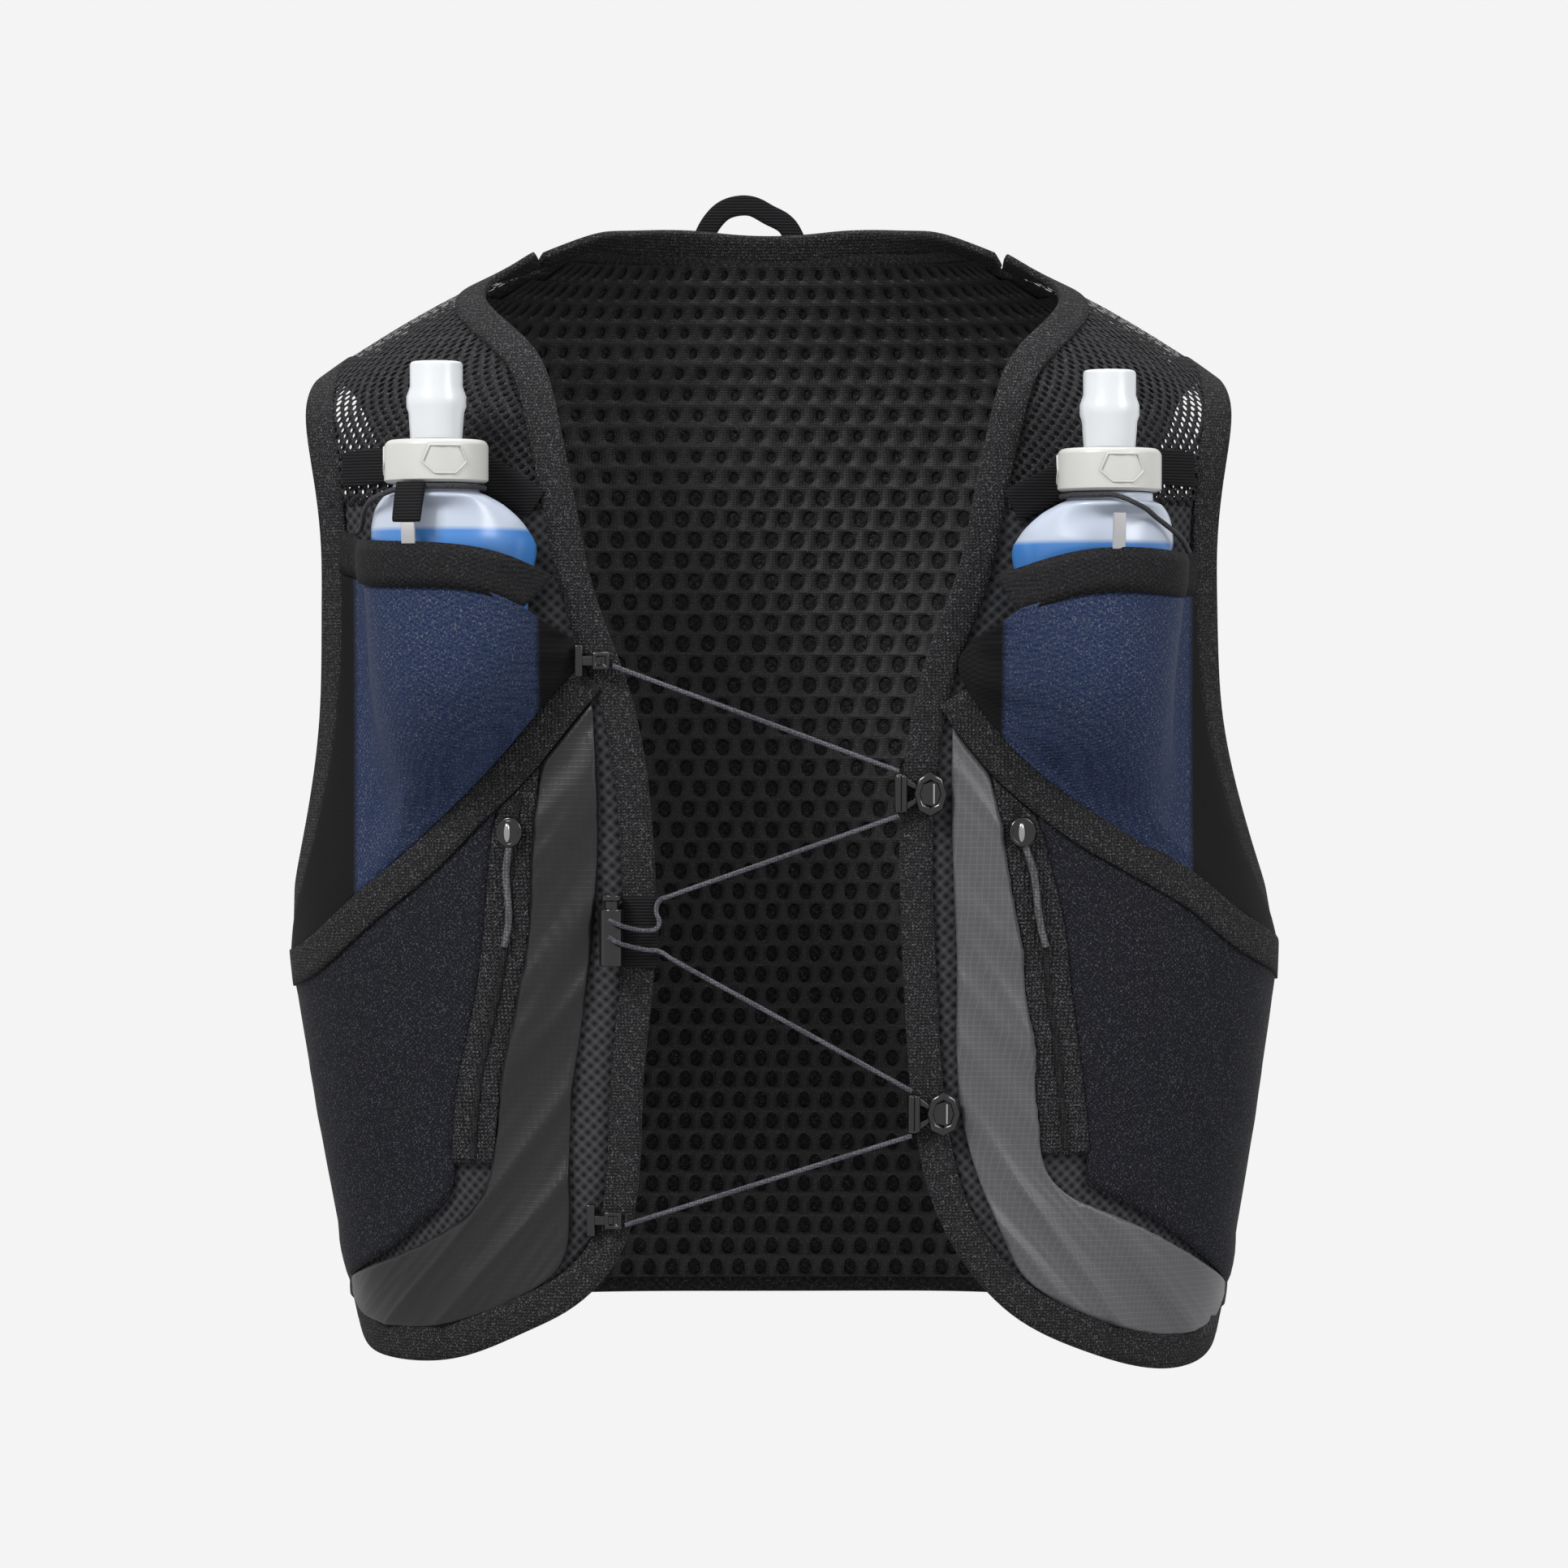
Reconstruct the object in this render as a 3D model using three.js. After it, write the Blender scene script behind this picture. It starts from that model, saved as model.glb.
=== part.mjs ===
import * as THREE from "three";

// Running hydration vest in its worn form. Millimetres, Z up, front towards -Y.
// The origin is the middle of the shoulder line. L is the left of a viewer who faces the front.

// Worn body form: lengths that the tables below are shares of
const bodyDrop = 450;
const halfWidth = 212;
const frontDepth = 98;
const backDepth = 102;
const sectionPower = 2.4;

// Cloth, layers and bindings
const cloth = 1;
const layerGap = 1;
const bindingWidth = 12.5;
const bindingThick = 3;
const seamGap = 0.8;
const touchGap = 0.3;
const meshThick = 2;

// Flask, cap and valve
const flaskHeight = 138;
const flaskGirth = 92;
const flaskDepth = 44;
const flaskStand = 26;
const neckRadius = 18.5;
const capRadius = 21.7;
const capHeight = 18;
const valveRadius = 11;
const valveHeight = 32.5;

// Straps, tabs, zips, hooks and lace
const hemWidth = 15;
const strapWidth = 11;
const loopWidth = 9;
const loopThick = 1.6;
const tabWidth = 10;
const tabLength = 14;
const sliderWidth = 9;
const sliderLength = 11;
const sliderThick = 4;
const pullDiameter = 3;
const laceDiameter = 2;
const bungeeDiameter = 2.2;
const hookWidth = 14.5;
const hookHeight = 13;
const hookThick = 4;
const bowDepth = 9;
const bowHeight = 16;
const bowThick = 5;
const lockRadius = 5.2;
const lockLength = 24;
const buttonRadius = 4.6;
const buttonHead = 2.4;
const buttonNeckRadius = 3;
const buttonStroke = 3;

// Seams: clearances and shares of a curve's length
const armEase = 1.45;
const backEase = 2.4;
const sideInset = 1.3;
const armSeamShare = 0.035;
const seamStep = 2.6;
const hemReach = 0.965;
const diagonalEnd = 0.955;
const cornerDrop = 0.905;
const seamLow = cloth + 0.6;
const seamRun = 12;
const hemThick = 1.6;
const flaskEase = 7.2;
const pocketEase = 3.8;
const pocketRise = 0.8;
const tentReach = 1.5;
const tentShare = 0.45;
const loopAcross = { left: -0.162, right: 0.021 };
const loopSink = 5;
const loopSeat = 1.2;
const loopRise = 15.6;
const neckReach = 14;
const collarStart = 0.03;
const collarEase = 0.6;
const zipReach = 0.92;
const roundShare = 0.8;
const flaskSides = 16;
const neckTall = 3.4;
const bungeeStand = 1.6;
const sliderDrop = 0.5;
const pullLength = 42;
const pullSway = 1.2;
const bowPlate = 0.72;
const lockTabProud = 0.6;
const boreShare = 0.42;

// Body sections from the neck down. drop is a share of bodyDrop, half and lean of halfWidth,
// front of frontDepth and back of backDepth.
const sections = [
  { drop: -0.100, half: 0.28, front: 0.05, back: 0.58, lean: -0.031 },
  { drop: -0.080, half: 0.35, front: 0.08, back: 0.63, lean: -0.031 },
  { drop: -0.056, half: 0.448, front: 0.14, back: 0.70, lean: -0.031 },
  { drop: -0.032, half: 0.533, front: 0.29, back: 0.77, lean: -0.031 },
  { drop: -0.008, half: 0.637, front: 0.46, back: 0.82, lean: -0.031 },
  { drop: 0.031, half: 0.778, front: 0.64, back: 0.885, lean: -0.031 },
  { drop: 0.070, half: 0.90, front: 0.775, back: 0.93, lean: -0.031 },
  { drop: 0.100, half: 0.965, front: 0.85, back: 0.95, lean: -0.031 },
  { drop: 0.140, half: 0.995, front: 0.91, back: 0.975, lean: -0.031 },
  { drop: 0.218, half: 0.967, front: 0.97, back: 1, lean: -0.03 },
  { drop: 0.378, half: 0.930, front: 1, back: 0.97, lean: -0.027 },
  { drop: 0.456, half: 0.939, front: 0.99, back: 0.93, lean: -0.02 },
  { drop: 0.529, half: 0.965, front: 0.97, back: 0.89, lean: -0.012 },
  { drop: 0.611, half: 0.985, front: 0.94, back: 0.855, lean: 0 },
  { drop: 0.760, half: 0.943, front: 0.89, back: 0.825, lean: 0.005 },
  { drop: 0.876, half: 0.900, front: 0.865, back: 0.845, lean: 0.008 },
  { drop: 0.978, half: 0.856, front: 0.855, back: 0.87, lean: 0.01 },
  { drop: 1.040, half: 0.830, front: 0.85, back: 0.885, lean: 0.01 },
];

// Free edge of each front, from the shoulder down and round the hem to the side.
// across is a share of halfWidth from the middle, drop a share of bodyDrop.
const edgeRows = {
  L: [
    { across: -0.535, drop: -0.047 }, { across: -0.471, drop: 0.069 }, { across: -0.435, drop: 0.149 },
    { across: -0.394, drop: 0.253 }, { across: -0.349, drop: 0.317 }, { across: -0.303, drop: 0.370 },
    { across: -0.270, drop: 0.453 }, { across: -0.254, drop: 0.561 }, { across: -0.260, drop: 0.640 },
    { across: -0.283, drop: 0.735 }, { across: -0.288, drop: 0.829 }, { across: -0.318, drop: 0.893 },
    { across: -0.398, drop: 0.937 }, { across: -0.509, drop: 0.964 }, { across: -0.634, drop: 0.990 },
    { across: -0.757, drop: 0.995 }, { across: -0.836, drop: 0.982 }, { across: -0.9, drop: 0.955 },
  ],
  R: [
    { across: 0.48, drop: -0.045 }, { across: 0.433, drop: 0.072 }, { across: 0.395, drop: 0.149 },
    { across: 0.354, drop: 0.253 }, { across: 0.298, drop: 0.315 }, { across: 0.262, drop: 0.372 },
    { across: 0.237, drop: 0.445 }, { across: 0.230, drop: 0.525 }, { across: 0.236, drop: 0.600 },
    { across: 0.253, drop: 0.742 }, { across: 0.290, drop: 0.842 }, { across: 0.352, drop: 0.899 },
    { across: 0.445, drop: 0.949 }, { across: 0.566, drop: 0.978 }, { across: 0.700, drop: 1.000 },
    { across: 0.790, drop: 1.003 }, { across: 0.850, drop: 0.990 }, { across: 0.9, drop: 0.969 },
  ],
};

// Armhole edge, from the top down the front and up the back. wrap is 1 at the side and 2 at the
// middle of the back, and a share of the section's half width between.
const armholeRows = [
  { wrap: 1, drop: 0.068 }, { wrap: 0.955, drop: 0.100 }, { wrap: 0.913, drop: 0.145 },
  { wrap: 0.914, drop: 0.218 }, { wrap: 0.934, drop: 0.289 }, { wrap: 0.957, drop: 0.378 },
  { wrap: 0.975, drop: 0.456 }, { wrap: 0.990, drop: 0.530 }, { wrap: 1.002, drop: 0.572 },
  { wrap: 1.045, drop: 0.545 }, { wrap: 1.10, drop: 0.470 }, { wrap: 1.18, drop: 0.385 },
  { wrap: 1.23, drop: 0.300 }, { wrap: 1.24, drop: 0.220 }, { wrap: 1.21, drop: 0.145 },
  { wrap: 1.12, drop: 0.090 },
];

// Top edge of the back neck, from one shoulder to the middle of the back
const collarRows = [
  { wrap: 1.01, drop: -0.046 }, { wrap: 1.07, drop: -0.071 }, { wrap: 1.21, drop: -0.077 },
  { wrap: 1.54, drop: -0.081 }, { wrap: 2, drop: -0.0765 },
];
const hemDrop = { L: 0.955, R: 0.969, back: 0.945 };
const frontSeamDrop = 0.185;

// Flask pocket mouths, from the armhole to the front edge
const mouthRows = {
  L: [
    { across: -0.90, drop: 0.221 }, { across: -0.717, drop: 0.236 }, { across: -0.521, drop: 0.247 },
    { across: -0.40, drop: 0.257 },
  ],
  R: [
    { across: 0.87, drop: 0.238 }, { across: 0.72, drop: 0.245 }, { across: 0.52, drop: 0.247 },
    { across: 0.37, drop: 0.256 },
  ],
};

// Upper edge of the diagonal binding under each flask, from the side to the front edge
const diagonalRows = {
  L: [
    { across: -1.01, drop: 0.618 }, { across: -0.937, drop: 0.603 }, { across: -0.824, drop: 0.553 },
    { across: -0.730, drop: 0.516 }, { across: -0.634, drop: 0.469 }, { across: -0.558, drop: 0.436 },
    { across: -0.482, drop: 0.391 }, { across: -0.375, drop: 0.332 },
  ],
  R: [
    { across: 1.02, drop: 0.612 }, { across: 0.90, drop: 0.579 }, { across: 0.832, drop: 0.550 },
    { across: 0.742, drop: 0.522 }, { across: 0.603, drop: 0.484 }, { across: 0.515, drop: 0.454 },
    { across: 0.434, drop: 0.418 }, { across: 0.330, drop: 0.350 },
  ],
};

// Zip tape edges from the diagonal down: outer is towards the side, inner towards the front edge
const zipRows = {
  L: [
    { outer: -0.574, inner: -0.493, drop: 0.492 }, { outer: -0.589, inner: -0.498, drop: 0.586 },
    { outer: -0.605, inner: -0.517, drop: 0.650 }, { outer: -0.646, inner: -0.560, drop: 0.745 },
    { outer: -0.655, inner: -0.576, drop: 0.840 },
  ],
  R: [
    { outer: 0.500, inner: 0.419, drop: 0.492 }, { outer: 0.540, inner: 0.448, drop: 0.560 },
    { outer: 0.563, inner: 0.474, drop: 0.640 }, { outer: 0.592, inner: 0.497, drop: 0.745 },
    { outer: 0.606, inner: 0.512, drop: 0.826 },
  ],
};

// Inner edge of the ripstop panel and its lower seam with the stretch pocket
const ripstopRows = {
  L: [
    { across: -0.375, drop: 0.420 }, { across: -0.362, drop: 0.527 }, { across: -0.398, drop: 0.683 },
    { across: -0.421, drop: 0.752 }, { across: -0.424, drop: 0.829 }, { across: -0.412, drop: 0.885 },
  ],
  R: [
    { across: 0.335, drop: 0.430 }, { across: 0.330, drop: 0.516 }, { across: 0.341, drop: 0.655 },
    { across: 0.342, drop: 0.760 }, { across: 0.384, drop: 0.829 }, { across: 0.440, drop: 0.889 },
  ],
};
const lowerSeamRows = {
  L: [{ across: -0.600, drop: 0.852 }, { across: -0.740, drop: 0.893 }, { across: -0.92, drop: 0.930 }],
  R: [
    { across: 0.560, drop: 0.838 }, { across: 0.712, drop: 0.870 }, { across: 0.830, drop: 0.905 },
    { across: 0.92, drop: 0.935 },
  ],
};

const loopRows = [
  { across: 0, rise: 0 }, { across: 0.09, rise: 0.48 }, { across: 0.25, rise: 0.9 },
  { across: 0.52, rise: 1 }, { across: 0.71, rise: 0.74 }, { across: 0.90, rise: 0.47 },
  { across: 1, rise: 0 },
];

// Flask rings from the bottom up. rise is a share of flaskHeight above the flask's lowest ring,
// width of half of flaskGirth, depth of flaskDepth, shift of half of flaskGirth towards the side,
// round 0 on the body's curve and 1 about the neck.
const flaskRings = [
  { rise: 0.03, width: 0.25, depth: 0.12, shift: 0.60, round: 0 },
  { rise: 0.11, width: 0.46, depth: 0.40, shift: 0.47, round: 0 },
  { rise: 0.255, width: 0.765, depth: 0.74, shift: 0.22, round: 0 },
  { rise: 0.40, width: 0.93, depth: 0.93, shift: 0.06, round: 0 },
  { rise: 0.60, width: 1, depth: 1, shift: 0, round: 0 },
  { rise: 0.78, width: 1, depth: 0.98, shift: 0, round: 0 },
  { rise: 0.87, width: 0.97, depth: 0.92, shift: 0, round: 0.25 },
  { rise: 0.93, width: 0.82, depth: 0.76, shift: 0, round: 0.7 },
  { rise: 0.965, width: 0.62, depth: 0.95, shift: 0, round: 1 },
];

// Half outlines of cap and valve: radius and height as shares of their own
const capProfile = [[0, 0], [0.96, 0], [1, 0.07], [1, 0.86], [0.94, 1], [0, 1]];
const valveProfile = [
  [0, 0], [0.98, 0], [1.05, 0.34], [1.13, 0.42], [1.13, 0.55], [1, 0.68], [1, 0.96], [0.93, 1],
  [0.6, 1], [0.55, 0.93], [0, 0.93],
];

// Cord round each flask neck: turns about the neck and slopes on the shoulder, as shares of half a turn
const bungeeRoute = {
  L: {
    turn: { from: 1.45, to: 0.42 },
    slopes: [{ rise: 0.96, turn: 0.24 }, { rise: 0.93, turn: 0.16 }, { rise: 0.88, turn: 0.11 }],
    end: 0.10,
  },
  R: {
    turn: { from: 1.45, to: 0.6 },
    slopes: [{ rise: 0.96, turn: 0.46 }, { rise: 0.92, turn: 0.36 }, { rise: 0.87, turn: 0.27 }],
    end: 0.22,
  },
};
const neckTurnSteps = 10;
const bungeeEase = 0.1;
const strapDrops = { arm: 0.168, edge: 0.196 };
const strapBend = { across: 0.62, drop: 0.160 };
const tabPlace = {
  L: { share: 0.575, tall: 0.6, wide: 0.6, lean: 0.06 },
  R: { share: 0.64, tall: 1, wide: 0.55, lean: 0.06 },
};
const tabRows = [
  { down: -0.13, aside: 0.3, ahead: 1.035 }, { down: 0.4, aside: 0.3, ahead: 1.12 },
  { down: 0.8, aside: 0.3, ahead: 1.22 },
];

// Hooks: inset is how far the nose stands past the front edge, lift the height over the body
const hookRows = [
  { name: "lace_hook_1", side: "L", drop: 0.342, inset: -2.7, lift: 5.8, bow: false },
  { name: "lace_hook_2", side: "R", drop: 0.464, inset: 3.6, lift: 3.4, bow: true },
  { name: "lace_hook_3", side: "R", drop: 0.761, inset: 3.0, lift: 3.4, bow: true },
  { name: "lace_hook_4", side: "L", drop: 0.861, inset: -4.4, lift: 3.4, bow: false },
];
const pullSteps = 7;
const pullWaves = 2;
const hookSearch = { from: 0.05, to: 0.75 };
const hookCut = { chamfer: 2, nose: 1 / 3, waist: 0.55, shoulder: 0.6 };
const eyeCut = { ease: 0.75, inset: 1, near: 1 / 4, far: 1 / 8 };
const lockTabDrops = { top: 0.563, bottom: 0.622 };
const boreSlack = 1;
const lockPlace = { across: -0.334, drop: 0.596, stand: 10 };

// Lace beside the lock: across and drop from the lock's middle as shares, lift over the body
const laceRows = {
  upper: [
    { across: 0.108, drop: -0.037, lift: 6 }, { across: 0.092, drop: -0.034, lift: 6 },
    { across: 0.084, drop: -0.024, lift: 6 }, { across: 0.090, drop: -0.014, lift: 6.2 },
    { across: 0.086, drop: -0.008, lift: 6.4 }, { across: 0.066, drop: -0.006, lift: 7.4 },
    { across: 0.036, drop: -0.009, lift: 11.2 }, { across: 0.014, drop: -0.014, lift: 16.6 },
    { across: -0.002, drop: -0.018, lift: 17.4 },
  ],
  lower: [
    { across: -0.002, drop: -0.002, lift: 17.6 }, { across: 0.014, drop: 0.003, lift: 16.6 },
    { across: 0.036, drop: 0.008, lift: 11.2 }, { across: 0.066, drop: 0.012, lift: 7.4 },
    { across: 0.092, drop: 0.014, lift: 6.2 }, { across: 0.112, drop: 0.020, lift: 6 },
  ],
};
const flaskPlace = {
  L: { across: -0.645, drop: 0.24, top: 0.1785 },
  R: { across: 0.60, drop: 0.24, top: 0.1863 },
};

const rows = (table, side) => table[side];
const sideSign = { L: -1, R: 1 };

// One column of a table as a smooth function of its drop
function column(table, name) {
  const slope = (index) => {
    const before = table[Math.max(index - 1, 0)];
    const after = table[Math.min(index + 1, table.length - 1)];
    return (after[name] - before[name]) / (after.drop - before.drop);
  };
  return (drop) => {
    let index = 0;
    while (index < table.length - 2 && table[index + 1].drop < drop) {
      index += 1;
    }
    const start = table[index];
    const end = table[index + 1];
    const run = end.drop - start.drop;
    const t = THREE.MathUtils.clamp((drop - start.drop) / run, 0, 1);
    const t2 = t * t;
    const t3 = t2 * t;
    return (2 * t3 - 3 * t2 + 1) * start[name] + (3 * t2 - 2 * t3) * end[name]
      + (t3 - 2 * t2 + t) * run * slope(index) + (t3 - t2) * run * slope(index + 1);
  };
}

const form = {
  half: column(sections, "half"),
  front: column(sections, "front"),
  back: column(sections, "back"),
  lean: column(sections, "lean"),
};
const squared = (value) => Math.sign(value) * Math.abs(value) ** (2 / sectionPower);

// A spot is a place on the unrolled body: x is the turn round the body times halfWidth, y the height.
function skin(spot) {
  const turn = spot.x / halfWidth;
  const drop = -spot.y / bodyDrop;
  const depth = Math.cos(turn) > 0 ? frontDepth * form.front(drop) : backDepth * form.back(drop);
  return new THREE.Vector3(
    halfWidth * (form.lean(drop) + form.half(drop) * squared(Math.sin(turn))),
    -depth * squared(Math.cos(turn)),
    spot.y,
  );
}

// Directions on the skin at a spot: round the body, up it and out of it
function frameAt(spot) {
  const step = 0.8;
  const along = (dx, dy) => skin(new THREE.Vector3(spot.x + dx, spot.y + dy, 0))
    .sub(skin(new THREE.Vector3(spot.x - dx, spot.y - dy, 0))).divideScalar(2 * step);
  const round = along(step, 0);
  const up = along(0, step);
  const out = new THREE.Vector3().crossVectors(round, up).normalize();
  return { round, up, out };
}

const lifted = (spot, lift) => skin(spot).addScaledVector(frameAt(spot).out, lift);

// The spot that lies a given distance to the left of a curve's direction, measured on the skin
function beside(spot, heading, distance) {
  const { round, up, out } = frameAt(spot);
  const travel = round.clone().multiplyScalar(heading.x).addScaledVector(up, heading.y);
  const left = new THREE.Vector3().crossVectors(out, travel).normalize();
  const a = round.dot(round);
  const b = round.dot(up);
  const c = up.dot(up);
  const p = round.dot(left);
  const q = up.dot(left);
  const scale = distance / (a * c - b * b);
  return new THREE.Vector3(spot.x + scale * (c * p - b * q), spot.y + scale * (a * q - b * p), 0);
}

// Spots from table rows
function wrapSpot(wrap, drop, sign = 1) {
  const turn = wrap <= 1
    ? Math.asin(wrap ** (sectionPower / 2))
    : Math.PI - Math.asin((2 - wrap) ** (sectionPower / 2));
  return new THREE.Vector3(sign * turn * halfWidth, -drop * bodyDrop, 0);
}
function acrossSpot(across, drop) {
  const wrap = (across - form.lean(drop)) / form.half(drop);
  return wrapSpot(Math.min(Math.abs(wrap), 1), drop, Math.sign(wrap));
}

const trace = (spots, closed = false) => new THREE.CatmullRomCurve3(spots, closed, "centripetal");
const traceRows = (table, name = "across") => trace(table.map((row) => acrossSpot(row[name], row.drop)));

// A curve moved sideways on the skin, between two shares of its length
function besideCurve(curve, distance, start = 0, end = 1, steps = 24) {
  const spots = [];
  for (let index = 0; index <= steps; index += 1) {
    const share = THREE.MathUtils.clamp(start + (end - start) * index / steps, 0, 1);
    spots.push(beside(curve.getPointAt(share), curve.getTangentAt(share), distance));
  }
  return trace(spots);
}

// The share of a curve's length at which a test changes sign, between two shares
function shareWhere(curve, low, high, test) {
  let from = low;
  let to = high;
  const positive = test(curve.getPointAt(from)) > 0;
  for (let round = 0; round < 30; round += 1) {
    const middle = (from + to) / 2;
    if (test(curve.getPointAt(middle)) > 0 === positive) {
      from = middle;
    } else {
      to = middle;
    }
  }
  return (from + to) / 2;
}

// A closed body from points (across i, along j) on two layers
function shell(inner, outer, across, along, ring = false) {
  const rowsAlong = ring ? along : along + 1;
  const positions = [];
  for (const layer of [inner, outer]) {
    for (let j = 0; j < rowsAlong; j += 1) {
      for (let i = 0; i <= across; i += 1) {
        positions.push(...layer(i / across, j / along).toArray());
      }
    }
  }
  const corner = (layer, i, j) => layer * rowsAlong * (across + 1) + (j % rowsAlong) * (across + 1) + i;
  const faces = [];
  const quad = (a, b, c, d) => faces.push(a, b, c, a, c, d);
  for (let j = 0; j < along; j += 1) {
    for (let i = 0; i < across; i += 1) {
      quad(corner(1, i, j), corner(1, i + 1, j), corner(1, i + 1, j + 1), corner(1, i, j + 1));
      quad(corner(0, i, j), corner(0, i, j + 1), corner(0, i + 1, j + 1), corner(0, i + 1, j));
    }
    quad(corner(0, 0, j), corner(1, 0, j), corner(1, 0, j + 1), corner(0, 0, j + 1));
    quad(corner(0, across, j), corner(0, across, j + 1), corner(1, across, j + 1), corner(1, across, j));
  }
  for (let i = 0; i < across && !ring; i += 1) {
    quad(corner(0, i, 0), corner(0, i + 1, 0), corner(1, i + 1, 0), corner(1, i, 0));
    quad(corner(0, i, along), corner(1, i, along), corner(1, i + 1, along), corner(0, i + 1, along));
  }
  return outward(positions, faces);
}

// A geometry whose faces point out, whichever way its grid ran
function outward(positions, faces) {
  const at = (index) => new THREE.Vector3().fromArray(positions, index * 3);
  let volume = 0;
  for (let index = 0; index < faces.length; index += 3) {
    volume += at(faces[index]).dot(at(faces[index + 1]).cross(at(faces[index + 2])));
  }
  const turned = [];
  for (let index = 0; index < faces.length; index += 3) {
    turned.push(faces[index], faces[index + (volume < 0 ? 2 : 1)], faces[index + (volume < 0 ? 1 : 2)]);
  }
  const geometry = new THREE.BufferGeometry();
  geometry.setAttribute("position", new THREE.Float32BufferAttribute(positions, 3));
  geometry.setIndex(turned);
  geometry.computeVertexNormals();
  return geometry;
}

// A closed body through rings of points, with flat ends
function loft(rings) {
  const sides = rings[0].length;
  const positions = [];
  const faces = [];
  for (const ring of rings) {
    for (const point of ring) {
      positions.push(...point.toArray());
    }
  }
  for (let level = 0; level < rings.length - 1; level += 1) {
    for (let side = 0; side < sides; side += 1) {
      const next = (side + 1) % sides;
      const low = level * sides;
      faces.push(low + side, low + next, low + sides + next);
      faces.push(low + side, low + sides + next, low + sides + side);
    }
  }
  for (const level of [0, rings.length - 1]) {
    const middle = rings[level].reduce((sum, point) => sum.add(point), new THREE.Vector3())
      .divideScalar(sides);
    const centre = positions.length / 3;
    positions.push(...middle.toArray());
    for (let side = 0; side < sides; side += 1) {
      const here = level * sides + side;
      const next = level * sides + (side + 1) % sides;
      faces.push(...(level === 0 ? [centre, next, here] : [centre, here, next]));
    }
  }
  return outward(positions, faces);
}

const vest = new THREE.Group();
const finishes = {
  binding: new THREE.MeshStandardMaterial({ color: 0x2c2c2e, roughness: 0.9, metalness: 0 }),
  mesh: new THREE.MeshStandardMaterial({ color: 0x18181a, roughness: 0.85, metalness: 0 }),
  net: new THREE.MeshStandardMaterial({ color: 0x242426, roughness: 0.8, metalness: 0 }),
  stretch: new THREE.MeshStandardMaterial({ color: 0x1c1d24, roughness: 0.85, metalness: 0 }),
  pocket: new THREE.MeshStandardMaterial({ color: 0x22304e, roughness: 0.8, metalness: 0 }),
  ripstop: new THREE.MeshStandardMaterial({ color: 0x4a4a4e, roughness: 0.5, metalness: 0 }),
  zip: new THREE.MeshStandardMaterial({ color: 0x2a2a2c, roughness: 0.8, metalness: 0 }),
  gloss: new THREE.MeshStandardMaterial({ color: 0x0c0c0d, roughness: 0.25, metalness: 0 }),
  cord: new THREE.MeshStandardMaterial({ color: 0x4c4a55, roughness: 0.8, metalness: 0 }),
  webbing: new THREE.MeshStandardMaterial({ color: 0x1e1e20, roughness: 0.85, metalness: 0 }),
  reflective: new THREE.MeshStandardMaterial({ color: 0xb9b9bb, roughness: 0.4, metalness: 0 }),
  flask: new THREE.MeshStandardMaterial({ color: 0x8fb4dc, roughness: 0.3, metalness: 0 }),
  cap: new THREE.MeshStandardMaterial({ color: 0xcdcdc8, roughness: 0.45, metalness: 0 }),
  valve: new THREE.MeshStandardMaterial({ color: 0xe6e6e4, roughness: 0.35, metalness: 0 }),
};

function add(name, geometry, finish) {
  const piece = new THREE.Mesh(geometry, finishes[finish]);
  piece.name = name;
  vest.add(piece);
  return piece;
}

// A binding or strap: a ribbon beside a curve, from one distance to another
function ribbon(curve, near, far, low, high, steps, start = 0, end = 1, ring = false) {
  const place = (lift) => (i, j) => {
    const share = THREE.MathUtils.clamp(start + (end - start) * j, 0, 1);
    const spot = curve.getPointAt(share);
    return lifted(beside(spot, curve.getTangentAt(share), near + (far - near) * i), lift);
  };
  return shell(place(low), place(high), 1, steps, ring);
}

// A panel inside four curves: top and bottom run one way, start and end join them
function panel({ top, bottom, start, end, low, high, across, along, spread = (share) => share }) {
  const spotAt = (share, j) => {
    const i = spread(share);
    const spot = new THREE.Vector3();
    spot.addScaledVector(top.getPointAt(i), 1 - j).addScaledVector(bottom.getPointAt(i), j);
    spot.addScaledVector(start.getPointAt(j), 1 - i).addScaledVector(end.getPointAt(j), i);
    spot.addScaledVector(top.getPointAt(0), -(1 - i) * (1 - j));
    spot.addScaledVector(top.getPointAt(1), -i * (1 - j));
    spot.addScaledVector(bottom.getPointAt(0), -(1 - i) * j);
    return spot.addScaledVector(bottom.getPointAt(1), -i * j);
  };
  const liftOf = (lift, spot) => (typeof lift === "function" ? lift(spot) : lift);
  const place = (lift) => (i, j) => {
    const spot = spotAt(i, j);
    return lifted(spot, liftOf(lift, spot));
  };
  return shell(place(low), place(high), across, along);
}

// Columns closer together near both seams
const spread = (share) => (1 - Math.cos(Math.PI * share)) / 2;
const straight = (from, to) => new THREE.LineCurve3(from, to);
const outerLow = cloth + layerGap;
const outerHigh = outerLow + cloth;
const gapIn = bindingWidth + seamGap;

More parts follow.
